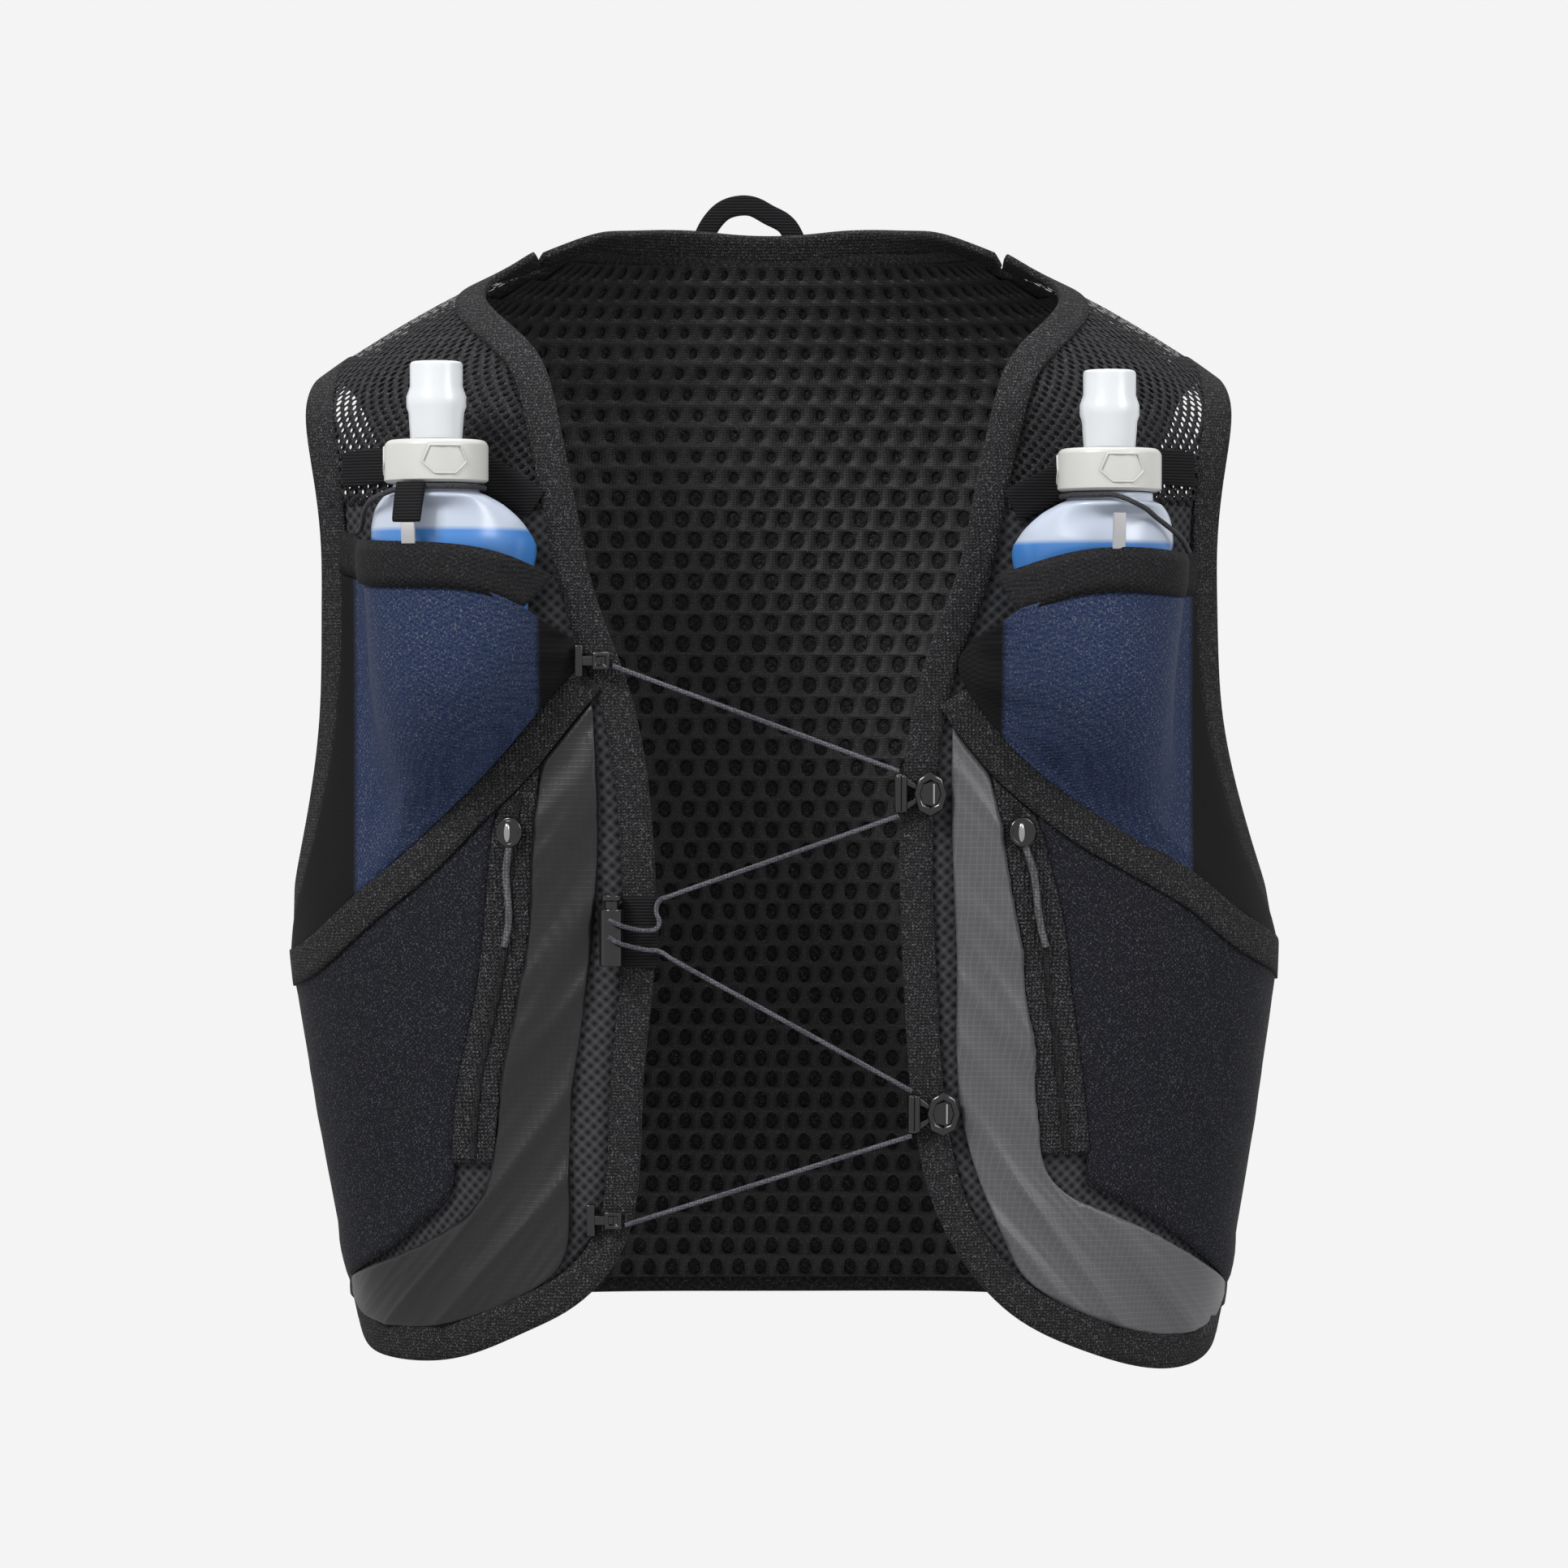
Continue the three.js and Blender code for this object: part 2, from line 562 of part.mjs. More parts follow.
// The fronts, shoulders, pockets and zips of one side
const backArms = {};
const flaskSeats = {};
for (const side of ["L", "R"]) {
  const sign = sideSign[side];
  const edge = traceRows(edgeRows[side]);
  const armhole = trace(armholeRows.map((row) => wrapSpot(row.wrap, row.drop, sign)), true);
  const diagonal = traceRows(diagonalRows[side]);
  const sideSpot = (drop, inset) => new THREE.Vector3(
    sign * (halfWidth * Math.PI / 2 - inset), -drop * bodyDrop, 0);
  const armEdge = (share, ease = armEase) => {
    const turned = THREE.MathUtils.euclideanModulo(share, 1);
    return beside(armhole.getPointAt(turned), armhole.getTangentAt(turned), -sign * (gapIn + ease));
  };
  const dropShare = (curve, low, high, drop) => shareWhere(curve, low, high, (spot) => spot.y + drop * bodyDrop);

  const armBottom = shareWhere(armhole, 0.3, 0.7, (spot) => Math.abs(spot.x) - halfWidth * Math.PI / 2);
  const seamOnEdge = dropShare(edge, 0, 0.4, frontSeamDrop);
  const seamOnArm = dropShare(armhole, 0.02, 0.35, frontSeamDrop);
  add(`armhole_binding_${side}`,
    ribbon(armhole, 0, -sign * bindingWidth, 0, bindingThick, 32, 0, 1, true), "binding");
  add(`front_binding_${side}`,
    ribbon(edge, 0, sign * bindingWidth, 0, bindingThick, 38, 0.004, 0.998), "binding");

  const samples = (from, to, count, place) =>
    Array.from({ length: count + 1 }, (_, index) => place(from + (to - from) * index / count, index));
  const edgeIn = (share) => beside(edge.getPointAt(share), edge.getTangentAt(share), sign * gapIn);

  const neckStart = edgeIn(0.006);
  const neckEnd = neckStart.clone().addScaledVector(edge.getTangentAt(0.006), -neckReach);
  const armEnd = armEdge(-armSeamShare);
  const shoulderIn = trace([neckEnd, neckStart, ...samples(0.02, seamOnEdge, 12, edgeIn)]);
  const shoulderOut = trace([armEnd, ...samples(0.01, seamOnArm, 8, (share) => armEdge(share))]);
  add(`shoulder_${side}`, panel({
    top: straight(neckEnd, armEnd),
    bottom: straight(shoulderIn.getPoint(1), shoulderOut.getPoint(1)),
    start: shoulderIn,
    end: shoulderOut,
    low: 0,
    high: meshThick,
    across: 6,
    along: 9,
  }), "net");

  const seamSkip = 0.008;
  const frontIn = trace(samples(seamOnEdge + seamSkip, hemReach, 20, edgeIn));
  const sideDrops = [0.64, 0.75, 0.86, hemDrop[side] - 0.035];
  const frontOut = trace([
    ...samples(seamOnArm + seamSkip, armBottom - 0.01, 12, (share) => armEdge(share)),
    ...sideDrops.map((drop) => sideSpot(drop, sideInset)),
  ]);
  add(`front_panel_${side}`, panel({
    top: straight(frontIn.getPoint(0), frontOut.getPoint(0)),
    bottom: straight(frontIn.getPoint(1), frontOut.getPoint(1)),
    start: frontIn,
    end: frontOut,
    low: 0,
    high: cloth,
    across: 6,
    along: 18,
  }), "mesh");
  backArms[side] = { armEdge, armBottom, neckEnd, sideSpot };

  // Flask place and shape on the skin
  const place = flaskPlace[side];
  const flaskSpot = acrossSpot(place.across, place.drop);
  const flaskTop = -place.top * bodyDrop;
  const flaskBottom = flaskTop - flaskHeight;
  const half = flaskGirth / 2;
  const ringColumn = (name) => column(flaskRings.map((ring) => ({ ...ring, drop: ring.rise })), name);
  const ringWidth = ringColumn("width");
  const ringDepth = ringColumn("depth");
  const ringShift = ringColumn("shift");
  const offCentre = (spot, rise) => sign * (spot.x - flaskSpot.x) - ringShift(rise) * half;

  // Height of the pocket cloth over the body: round the flask, and down to its seams on every side
  const pocketLift = (spot) => {
    const rise = THREE.MathUtils.clamp((spot.y - flaskBottom) / flaskHeight, 0, pocketRise);
    const reach = ringWidth(rise) * half + flaskEase;
    const away = Math.abs(offCentre(spot, rise));
    const depth = flaskDepth * ringDepth(rise) + pocketEase;
    const round = away < reach ? depth * Math.sqrt(1 - (away / reach) ** 2) : 0;
    const tent = depth * Math.max(0, 1 - away / (reach * tentReach));
    const overDiagonal = shareWhere(diagonal, 0, 1, (point) => point.x - spot.x);
    const above = Math.max(0, spot.y - diagonal.getPointAt(overDiagonal).y);
    const inside = Math.max(0, Math.abs(spot.x) - Math.abs(edgeIn(
      dropShare(edge, 0.05, 0.6, -spot.y / bodyDrop)).x));
    const taper = Math.sqrt(Math.min(1, above / seamRun, inside / seamRun + 0.02));
    return outerLow + Math.hypot(round, tent * tentShare) * taper;
  };

  // Flask pocket with its hem band, and the diagonal binding under it
  const mouthDrops = rows(mouthRows, side);
  const mouthArm = armEdge(dropShare(armhole, 0.05, 0.45, mouthDrops[0].drop));
  const mouthEdge = edgeIn(dropShare(edge, 0.05, 0.6, mouthDrops[mouthDrops.length - 1].drop));
  const mouth = trace([
    mouthArm, ...mouthDrops.slice(1, -1).map((row) => acrossSpot(row.across, row.drop)), mouthEdge,
  ]);
  const mouthLow = besideCurve(mouth, sign * hemWidth);
  const pocketTop = besideCurve(mouth, sign * (hemWidth + seamGap));
  flaskSeats[side] = {
    flaskSpot,
    flaskTop,
    mouth,
    pocketLift,
    armPoint: (drop) => armEdge(dropShare(armhole, 0.02, 0.45, drop)),
    edgePoint: (drop) => edgeIn(dropShare(edge, 0.02, 0.6, drop)),
  };
  const hemLift = (extra) => (spot) => pocketLift(spot) + extra;
  add(`pocket_hem_${side}`, panel({
    top: mouth,
    bottom: mouthLow,
    start: straight(mouth.getPoint(0), mouthLow.getPoint(0)),
    end: straight(mouth.getPoint(1), mouthLow.getPoint(1)),
    low: hemLift(0),
    high: hemLift(hemThick),
    across: 14,
    along: 1,
    spread,
  }), "webbing");
  const pocketBottom = besideCurve(diagonal, -sign * seamGap, 0.07, diagonalEnd);
  const sideFrom = dropShare(armhole, 0.05, 0.45, -pocketTop.getPoint(0).y / bodyDrop);
  const frontFrom = dropShare(edge, 0.05, 0.6, -pocketTop.getPoint(1).y / bodyDrop);
  const frontTo = dropShare(edge, 0.05, 0.6, -pocketBottom.getPoint(1).y / bodyDrop);
  add(`flask_pocket_${side}`, panel({
    top: pocketTop,
    bottom: pocketBottom,
    start: trace([pocketTop.getPoint(0),
      ...samples(sideFrom + 0.03, armBottom - 0.06, 8, (share) => armEdge(share)), pocketBottom.getPoint(0)]),
    end: trace([pocketTop.getPoint(1), edgeIn((frontFrom + frontTo) / 2), pocketBottom.getPoint(1)]),
    low: hemLift(0),
    high: hemLift(cloth),
    across: 12,
    along: 9,
    spread,
  }), "pocket");
  add(`pocket_binding_${side}`,
    ribbon(diagonal, 0, sign * bindingWidth, seamLow, seamLow + bindingThick, 18, 0.012, diagonalEnd),
    "binding");

  // Zip tape, stretch pocket and ripstop panel
  const zipTable = rows(zipRows, side);
  const zipOuter = traceRows(zipTable, "outer");
  const zipInner = traceRows(zipTable, "inner");
  const under = besideCurve(diagonal, sign * (gapIn + touchGap), 0.012, diagonalEnd);
  const underAt = (spot) => shareWhere(under, 0, 1, (point) => point.x - spot.x);
  const part = (curve, from, to, count = 10) => trace(samples(from, to, count, (share) => curve.getPoint(share)));
  const shiftIn = (curve, distance) => besideCurve(curve, distance);
  const outerTop = underAt(zipOuter.getPoint(0));
  const innerTop = underAt(zipInner.getPoint(0));
  const zipTop = part(under, outerTop, innerTop, 4);
  add(`zip_tape_${side}`, panel({
    top: zipTop,
    bottom: straight(zipOuter.getPoint(zipReach), zipInner.getPoint(zipReach)),
    start: trace([zipTop.getPoint(0), ...samples(0.1, zipReach, 8, (share) => zipOuter.getPoint(share))]),
    end: trace([zipTop.getPoint(1), ...samples(0.1, zipReach, 8, (share) => zipInner.getPoint(share))]),
    low: outerLow,
    high: outerHigh + touchGap,
    across: 2,
    along: 12,
  }), "zip");

  const lowerSeam = traceRows(lowerSeamRows[side]);
  const zipOuterSeam = shiftIn(zipOuter, -sign * -seamGap);
  const stretchTop = part(under, 0.02, underAt(zipOuterSeam.getPoint(0)), 8);
  const seamUp = besideCurve(lowerSeam, sign * seamGap);
  const stretchSide = [0.68, 0.75, 0.83].map((drop) => sideSpot(drop, sideInset));
  add(`lower_pocket_${side}`, panel({
    top: stretchTop,
    bottom: part(seamUp, 0.97, 0, 8),
    start: trace([stretchTop.getPoint(0), ...stretchSide, seamUp.getPoint(0.97)]),
    end: trace([stretchTop.getPoint(1), ...samples(0.1, 1, 8, (share) => zipOuterSeam.getPoint(share))]),
    low: outerLow,
    high: outerHigh,
    across: 7,
    along: 8,
  }), "stretch");

  const zipInnerSeam = shiftIn(zipInner, -sign * seamGap);
  const panelEdge = traceRows(ripstopRows[side]);
  const panelTop = part(under, underAt(zipInnerSeam.getPoint(0)), underAt(panelEdge.getPoint(0)), 4);
  const seamDown = besideCurve(lowerSeam, -sign * seamGap, 0.1, 1);
  const panelOut = trace([panelTop.getPoint(0),
    ...samples(0.1, 1, 8, (share) => zipInnerSeam.getPoint(share)),
    ...samples(0.15, 0.95, 6, (share) => seamDown.getPoint(share))]);
  const hemFrom = dropShare(edge, 0.3, 0.75, cornerDrop);
  const panelIn = trace([panelTop.getPoint(1),
    ...samples(0.12, 1, 8, (share) => panelEdge.getPoint(share)),
    ...samples(hemFrom, hemReach, 7, edgeIn)]);
  add(`ripstop_panel_${side}`, panel({
    top: panelTop,
    bottom: straight(panelOut.getPoint(1), panelIn.getPoint(1)),
    start: panelOut,
    end: panelIn,
    low: outerLow,
    high: outerHigh,
    across: 5,
    along: 14,
  }), "ripstop");
}

// Back: panel from one armhole round to the other, with neck and hem bindings
const fullTurn = 2 * Math.PI * halfWidth;
const round = (spot) => (spot.x < 0 ? spot.clone().setX(spot.x + fullTurn) : spot.clone());
const collar = trace([
  ...collarRows.map((row) => wrapSpot(row.wrap, row.drop)),
  ...collarRows.slice(0, -1).reverse().map((row) => round(wrapSpot(row.wrap, row.drop, -1))),
]);
const hem = trace([
  wrapSpot(1, hemDrop.R), wrapSpot(1.5, hemDrop.back), wrapSpot(2, hemDrop.back),
  round(wrapSpot(1.5, hemDrop.back, -1)), round(wrapSpot(1, hemDrop.L, -1)),
]);
add("collar_binding", ribbon(collar, 0, -bindingWidth, 0, bindingThick, 22, collarStart, 1 - collarStart), "binding");
add("back_hem", ribbon(hem, 0, bindingWidth, 0, bindingThick, 22, 0.003, 0.997), "binding");

const backEdge = (side) => {
  const { armEdge, armBottom, neckEnd, sideSpot } = backArms[side];
  const away = sideSign[side] * seamStep;
  const backNeck = neckEnd.clone().setX(neckEnd.x + away);
  const backSpots = [];
  for (let index = 0; index <= 14; index += 1) {
    const spot = armEdge(1 - armSeamShare - 0.008 - (1 - armSeamShare - 0.02 - armBottom) * index / 14,
      backEase);
    if (index === 0) {
      spot.setX(spot.x + away);
      backSpots.push(...[0, 0.25, 0.5, 0.75].map((share) => backNeck.clone().lerp(spot, share)));
    }
    backSpots.push(spot);
  }
  for (const drop of [0.64, 0.75, 0.86, hemDrop[side] - 0.04]) {
    backSpots.push(sideSpot(drop, -sideInset));
  }
  return trace(backSpots.map(round));
};
const besideShares = (curve, distance) => Array.from({ length: 15 }, (_, index) => {
  const share = (index + 1) / 16;
  return beside(curve.getPointAt(share), curve.getTangentAt(share), distance);
});
const backR = backEdge("R");
const backL = backEdge("L");
add("back_panel", panel({
  top: trace([backR.getPoint(0), ...besideShares(collar, -gapIn - collarEase), backL.getPoint(0)]),
  bottom: trace([backR.getPoint(1), ...besideShares(hem, gapIn), backL.getPoint(1)]),
  start: backR,
  end: backL,
  low: 0,
  high: meshThick,
  across: 18,
  along: 14,
}), "mesh");

// Tubes and bars along chosen points
function tube(points, diameter, steps, sides = 8) {
  const section = new THREE.Shape(Array.from({ length: sides }, (_, index) => {
    const angle = index * 2 * Math.PI / sides;
    return new THREE.Vector2(Math.cos(angle), Math.sin(angle)).multiplyScalar(diameter / 2);
  }));
  const path = new THREE.CatmullRomCurve3(points, false, "centripetal");
  return new THREE.ExtrudeGeometry(section, { steps, extrudePath: path, bevelEnabled: false });
}

// A flat strap along a path in space, wide along one direction
function strap(points, width, thick, wide, steps) {
  const path = new THREE.CatmullRomCurve3(points, false, "centripetal");
  const place = (side) => (i, j) => {
    const heading = path.getTangentAt(j);
    const out = new THREE.Vector3().crossVectors(heading, wide).normalize();
    return path.getPointAt(j).addScaledVector(wide, width * (i - 0.5)).addScaledVector(out, side * thick / 2);
  };
  return shell(place(-1), place(1), 1, steps);
}

// Hang loop: webbing that stands on the back neck in a bow, its face to the front
const collarSpot = (across) => shareWhere(collar, 0.05, 0.95, (spot) => skin(spot).x - across * halfWidth);
const loopFoot = (across) => {
  const share = collarSpot(across);
  return lifted(beside(collar.getPointAt(share), collar.getTangentAt(share), -loopSink), bindingThick + loopSeat);
};
const footLeft = loopFoot(loopAcross.left);
const footRight = loopFoot(loopAcross.right);
const loopFootHeight = Math.max(footLeft.z, footRight.z);
const loopPath = trace(loopRows.map((row) => new THREE.Vector3(
  footLeft.x + (footRight.x - footLeft.x) * row.across,
  Math.max(footLeft.y, footRight.y),
  loopFootHeight + row.rise * loopRise,
)));
const loopLayer = (side) => (i, j) => {
  const inward = loopPath.getTangentAt(j).cross(new THREE.Vector3(0, 1, 0));
  const point = loopPath.getPointAt(j).addScaledVector(inward, loopWidth * (i - 0.5));
  return point.setY(point.y + side * loopThick / 2);
};
add("hang_loop", shell(loopLayer(-1), loopLayer(1), 1, 16), "webbing");

// Flasks with their caps and valves, and what holds them
const lathe = (profile, sides) => {
  const outline = profile.map(([radius, height]) => new THREE.Vector2(radius, height));
  return new THREE.LatheGeometry(outline, sides).rotateX(Math.PI / 2);
};
const scaled = (profile, radius, height) => profile.map(([r, h]) => [r * radius, h * height]);
const flatHeading = (vector) => vector.clone().setZ(0).normalize();

for (const side of ["L", "R"]) {
  const sign = sideSign[side];
  const { flaskSpot, flaskTop, mouth, pocketLift, armPoint, edgePoint } = flaskSeats[side];
  const frame = frameAt(flaskSpot);
  const ahead = flatHeading(frame.out);
  const sideways = flatHeading(frame.round).multiplyScalar(sign);
  const axis = lifted(flaskSpot, flaskStand);
  const half = flaskGirth / 2;
  const ringColumns = Object.fromEntries(["width", "depth", "shift", "round"].map((name) =>
    [name, column(flaskRings.map((ring) => ({ ...ring, drop: ring.rise })), name)]));

  // A point of the flask's surface, or a little outside it
  const flaskPoint = (rise, angle, proud = 0) => {
    const height = flaskTop - flaskHeight * (1 - rise);
    const width = ringColumns.width(rise);
    const depth = ringColumns.depth(rise) * flaskDepth;
    const turn = sign * (ringColumns.shift(rise) * half + (width * half + proud) * Math.cos(angle));
    const lift = outerLow + layerGap + (Math.sin(angle) > 0 ? depth + proud : layerGap / 2) * Math.sin(angle);
    const onBody = lifted(new THREE.Vector3(flaskSpot.x + turn, height, 0), lift).setZ(height);
    const onNeck = axis.clone()
      .addScaledVector(sideways, (width * half * roundShare + proud) * Math.cos(angle))
      .addScaledVector(ahead, (depth / 2 + proud) * Math.sin(angle)).setZ(height);
    return onBody.lerp(onNeck, THREE.MathUtils.clamp(ringColumns.round(rise), 0, 1));
  };
  const neckPoint = (height, angle, radius) => axis.clone().setZ(height)
    .addScaledVector(sideways, radius * Math.cos(angle)).addScaledVector(ahead, radius * Math.sin(angle));
  const ringOf = (make) => Array.from({ length: flaskSides }, (_, index) =>
    make(index * 2 * Math.PI / flaskSides));
  const neckFoot = flaskTop - neckTall;
  add(`flask_${side}`, loft([
    ...flaskRings.map((ring) => ringOf((angle) => flaskPoint(ring.rise, angle))),
    ringOf((angle) => neckPoint(neckFoot, angle, neckRadius)),
    ringOf((angle) => neckPoint(flaskTop, angle, neckRadius)),
  ]), "flask");

  const cap = add(`flask_cap_${side}`, lathe(scaled(capProfile, capRadius, capHeight), 20), "cap");
  cap.position.copy(axis).setZ(flaskTop + touchGap);
  const valve = add(`bite_valve_${side}`, lathe(scaled(valveProfile, valveRadius, valveHeight), 12), "valve");
  valve.position.copy(axis).setZ(flaskTop + capHeight + 2 * touchGap);

  // Elastic strap behind the neck
  const strapCurve = trace([
    armPoint(strapDrops.arm), acrossSpot(sign * strapBend.across, strapBend.drop), edgePoint(strapDrops.edge),
  ]);
  add(`neck_strap_${side}`, ribbon(strapCurve, -strapWidth / 2, strapWidth / 2,
    meshThick + seamGap, meshThick + seamGap + cloth, 8, 0.02, 0.96), "webbing");

  // Thin elastic cord round the neck and down to the pocket mouth
  const cordRadius = neckRadius + bungeeDiameter / 2 + touchGap + bungeeEase;
  const cordHeight = flaskTop - bungeeDiameter / 2 - touchGap - 2 * bungeeEase;
  const { turn, slopes, end } = bungeeRoute[side];
  const endSpot = mouth.getPointAt(end);
  const bungeePoints = [
    ...Array.from({ length: neckTurnSteps + 1 }, (_, index) => neckPoint(cordHeight,
      THREE.MathUtils.lerp(turn.from, turn.to, index / neckTurnSteps) * Math.PI, cordRadius)),
    ...slopes.map((slope) => flaskPoint(slope.rise, slope.turn * Math.PI, bungeeDiameter * bungeeStand)),
    lifted(endSpot.clone().setY(endSpot.y + bungeeDiameter), pocketLift(endSpot) + hemThick / 2),
  ];
  add(`flask_bungee_${side}`, tube(bungeePoints, bungeeDiameter, 20), "cord");

  // Reflective loop that stands on the pocket mouth in front of the flask
  const tabSpot = mouth.getPointAt(tabPlace[side].share);
  const tabPoints = [0, 0.5, 1].map((rise) => {
    const spot = tabSpot.clone().setY(tabSpot.y + touchGap + rise * tabPlace[side].tall * tabLength);
    return lifted(spot, pocketLift(tabSpot) + hemThick / 2 - rise * rise * tabPlace[side].lean * tabLength);
  });
  add(`reflective_tab_${side}`, strap(tabPoints, tabPlace[side].wide * tabWidth, loopThick, sideways, 3),
    "reflective");
}

// Webbing tab on the cord of one flask
{
  const { flaskTop, flaskSpot } = flaskSeats.L;
  const frame = frameAt(flaskSpot);
  const ahead = flatHeading(frame.out);
  const sideways = flatHeading(frame.round);
  const axis = lifted(flaskSpot, flaskStand);
  const tabPoints = tabRows.map((row) => axis.clone().setZ(flaskTop - neckTall - row.down * tabLength)
    .addScaledVector(sideways, -row.aside * tabWidth).addScaledVector(ahead, row.ahead * capRadius));
  add("flask_tab_L", strap(tabPoints, tabWidth, loopThick, sideways, 4), "webbing");
}

// Small parts that sit on the skin: local X runs round the body, Y up it and Z out of it
function seat(geometry, spot, lift) {
  const { round: alongSkin, out } = frameAt(spot);
  const x = alongSkin.clone().normalize();
  const y = new THREE.Vector3().crossVectors(out, x).normalize();
  const matrix = new THREE.Matrix4().makeBasis(x, y, out).setPosition(lifted(spot, lift));
  return geometry.applyMatrix4(matrix);
}
function plate(width, height, thick, corner) {
  const shape = new THREE.Shape();
  const left = -width / 2;
  const right = width / 2;
  const top = height / 2;
  shape.moveTo(left + corner, -top);
  shape.lineTo(right - corner, -top);
  shape.quadraticCurveTo(right, -top, right, -top + corner);
  shape.lineTo(right, top - corner);
  shape.quadraticCurveTo(right, top, right - corner, top);
  shape.lineTo(left + corner, top);
  shape.quadraticCurveTo(left, top, left, top - corner);
  shape.lineTo(left, -top + corner);
  shape.quadraticCurveTo(left, -top, left + corner, -top);
  return new THREE.ExtrudeGeometry(shape, { depth: thick, bevelEnabled: false, curveSegments: 3 });
}

// Zip sliders with their braided pulls
for (const side of ["L", "R"]) {
  const table = zipRows[side];
  const middle = trace(table.map((row) => acrossSpot((row.outer + row.inner) / 2, row.drop)));
  const sliderShare = shareWhere(middle, 0, 0.5, (spot) => spot.y + sliderDrop * bodyDrop);
  const sliderSpot = middle.getPointAt(sliderShare);
  const zipTopLift = outerHigh + 2 * touchGap;
  add(`zip_slider_${side}`, seat(plate(sliderWidth, sliderLength, sliderThick, sliderWidth / 3),
    sliderSpot, zipTopLift), "gloss");
  const pullFrom = sliderSpot.y - sliderLength / 2 - touchGap;
  const pullPoints = Array.from({ length: pullSteps + 1 }, (_, index) => {
    const down = pullFrom - pullLength * index / pullSteps;
    const share = shareWhere(middle, 0, 1, (spot) => spot.y - down);
    const spot = middle.getPointAt(share);
    const sway = pullSway * Math.sin(index / pullSteps * pullWaves * Math.PI) * sideSign[side];
    return lifted(spot.setX(spot.x + sway), zipTopLift + pullDiameter / 2 + touchGap);
  });
  add(`zip_pull_${side}`, tube(pullPoints, pullDiameter, 10), "cord");
}

// Hooks on the front bindings: a plate, and on two of them a bow that guides the lace
const hookSpots = {};
for (const hook of hookRows) {
  const edge = traceRows(edgeRows[hook.side]);
  const share = shareWhere(edge, hookSearch.from, hookSearch.to, (spot) => spot.y + hook.drop * bodyDrop);
  const spot = edge.getPointAt(share);
  const inward = -sideSign[hook.side];
  const reach = hook.bow ? bowDepth : 0;
  const shape = new THREE.Shape();
  const near = hook.inset;
  const plateNear = near - reach;
  const far = plateNear - hookWidth * (hook.bow ? bowPlate : 1);
  const outline = hook.bow
    ? [[far, -hookHeight / 2], [plateNear, -hookHeight / 2 * hookCut.waist],
      [near - bowThick * hookCut.shoulder, -bowHeight / 2], [near, -bowHeight / 2], [near, bowHeight / 2],
      [near - bowThick * hookCut.shoulder, bowHeight / 2], [plateNear, hookHeight / 2 * hookCut.waist],
      [far, hookHeight / 2]]
    : [[far, -hookHeight / 2], [near - hookCut.chamfer, -hookHeight / 2], [near, -hookHeight * hookCut.nose],
      [near, hookHeight * hookCut.nose], [near - hookCut.chamfer, hookHeight / 2], [far, hookHeight / 2]];
  shape.setFromPoints(outline.map(([u, v]) => new THREE.Vector2(inward * u, v)));
  if (hook.bow) {
    const eye = new THREE.Path();
    const eyeNear = near - bowThick * eyeCut.ease;
    const eyeFar = plateNear + eyeCut.inset;
    eye.setFromPoints([[eyeFar, -bowHeight * eyeCut.far], [eyeFar, bowHeight * eyeCut.far],
      [eyeNear, bowHeight * eyeCut.near], [eyeNear, -bowHeight * eyeCut.near]]
      .map(([u, v]) => new THREE.Vector2(inward * u, v)));
    shape.holes.push(eye);
  }
  const geometry = new THREE.ExtrudeGeometry(shape, { depth: hookThick, bevelEnabled: false });
  add(hook.name, seat(geometry, spot, hook.lift), "gloss");
  const { round: alongSkin, out } = frameAt(spot);
  const x = alongSkin.clone().normalize();
  const y = new THREE.Vector3().crossVectors(out, x).normalize();
  hookSpots[hook.name] = (u, v) => lifted(spot, hook.lift + hookThick / 2)
    .addScaledVector(x, inward * u).addScaledVector(y, v);
}

// Tab on the front edge, and the cord lock beside it: barrel upright, button pressed down into it
const lockEdge = traceRows(edgeRows.L);
const edgeShare = (drop) => shareWhere(lockEdge, hookSearch.from, hookSearch.to,
  (spot) => spot.y + drop * bodyDrop);
add("lock_tab", ribbon(lockEdge, lockTabProud, -bindingWidth, bindingThick + touchGap,
  bindingThick + touchGap + cloth, 5, edgeShare(lockTabDrops.top), edgeShare(lockTabDrops.bottom)), "webbing");
const lockSpot = acrossSpot(lockPlace.across, lockPlace.drop);
const lockCentre = lifted(lockSpot, lockPlace.stand);
const lockFoot = lockCentre.z - lockLength / 2;
const boreRadius = buttonNeckRadius + touchGap;
const boreDeep = lockLength * boreShare;
const barrel = add("cord_lock_barrel", lathe([
  [0, 0], [lockRadius, 0], [lockRadius, lockLength], [boreRadius, lockLength],
  [boreRadius, lockLength - boreDeep], [0, lockLength - boreDeep],
], 16), "gloss");
barrel.position.copy(lockCentre).setZ(lockFoot);
const buttonClear = buttonStroke + touchGap;
const buttonIn = boreDeep - buttonStroke - boreSlack;
const button = add("cord_lock_button", lathe([
  [0, -buttonIn], [buttonNeckRadius, -buttonIn], [buttonNeckRadius, buttonClear],
  [buttonRadius, buttonClear], [buttonRadius, buttonClear + buttonHead], [0, buttonClear + buttonHead],
], 16), "gloss");
button.position.copy(lockCentre).setZ(lockFoot + lockLength);

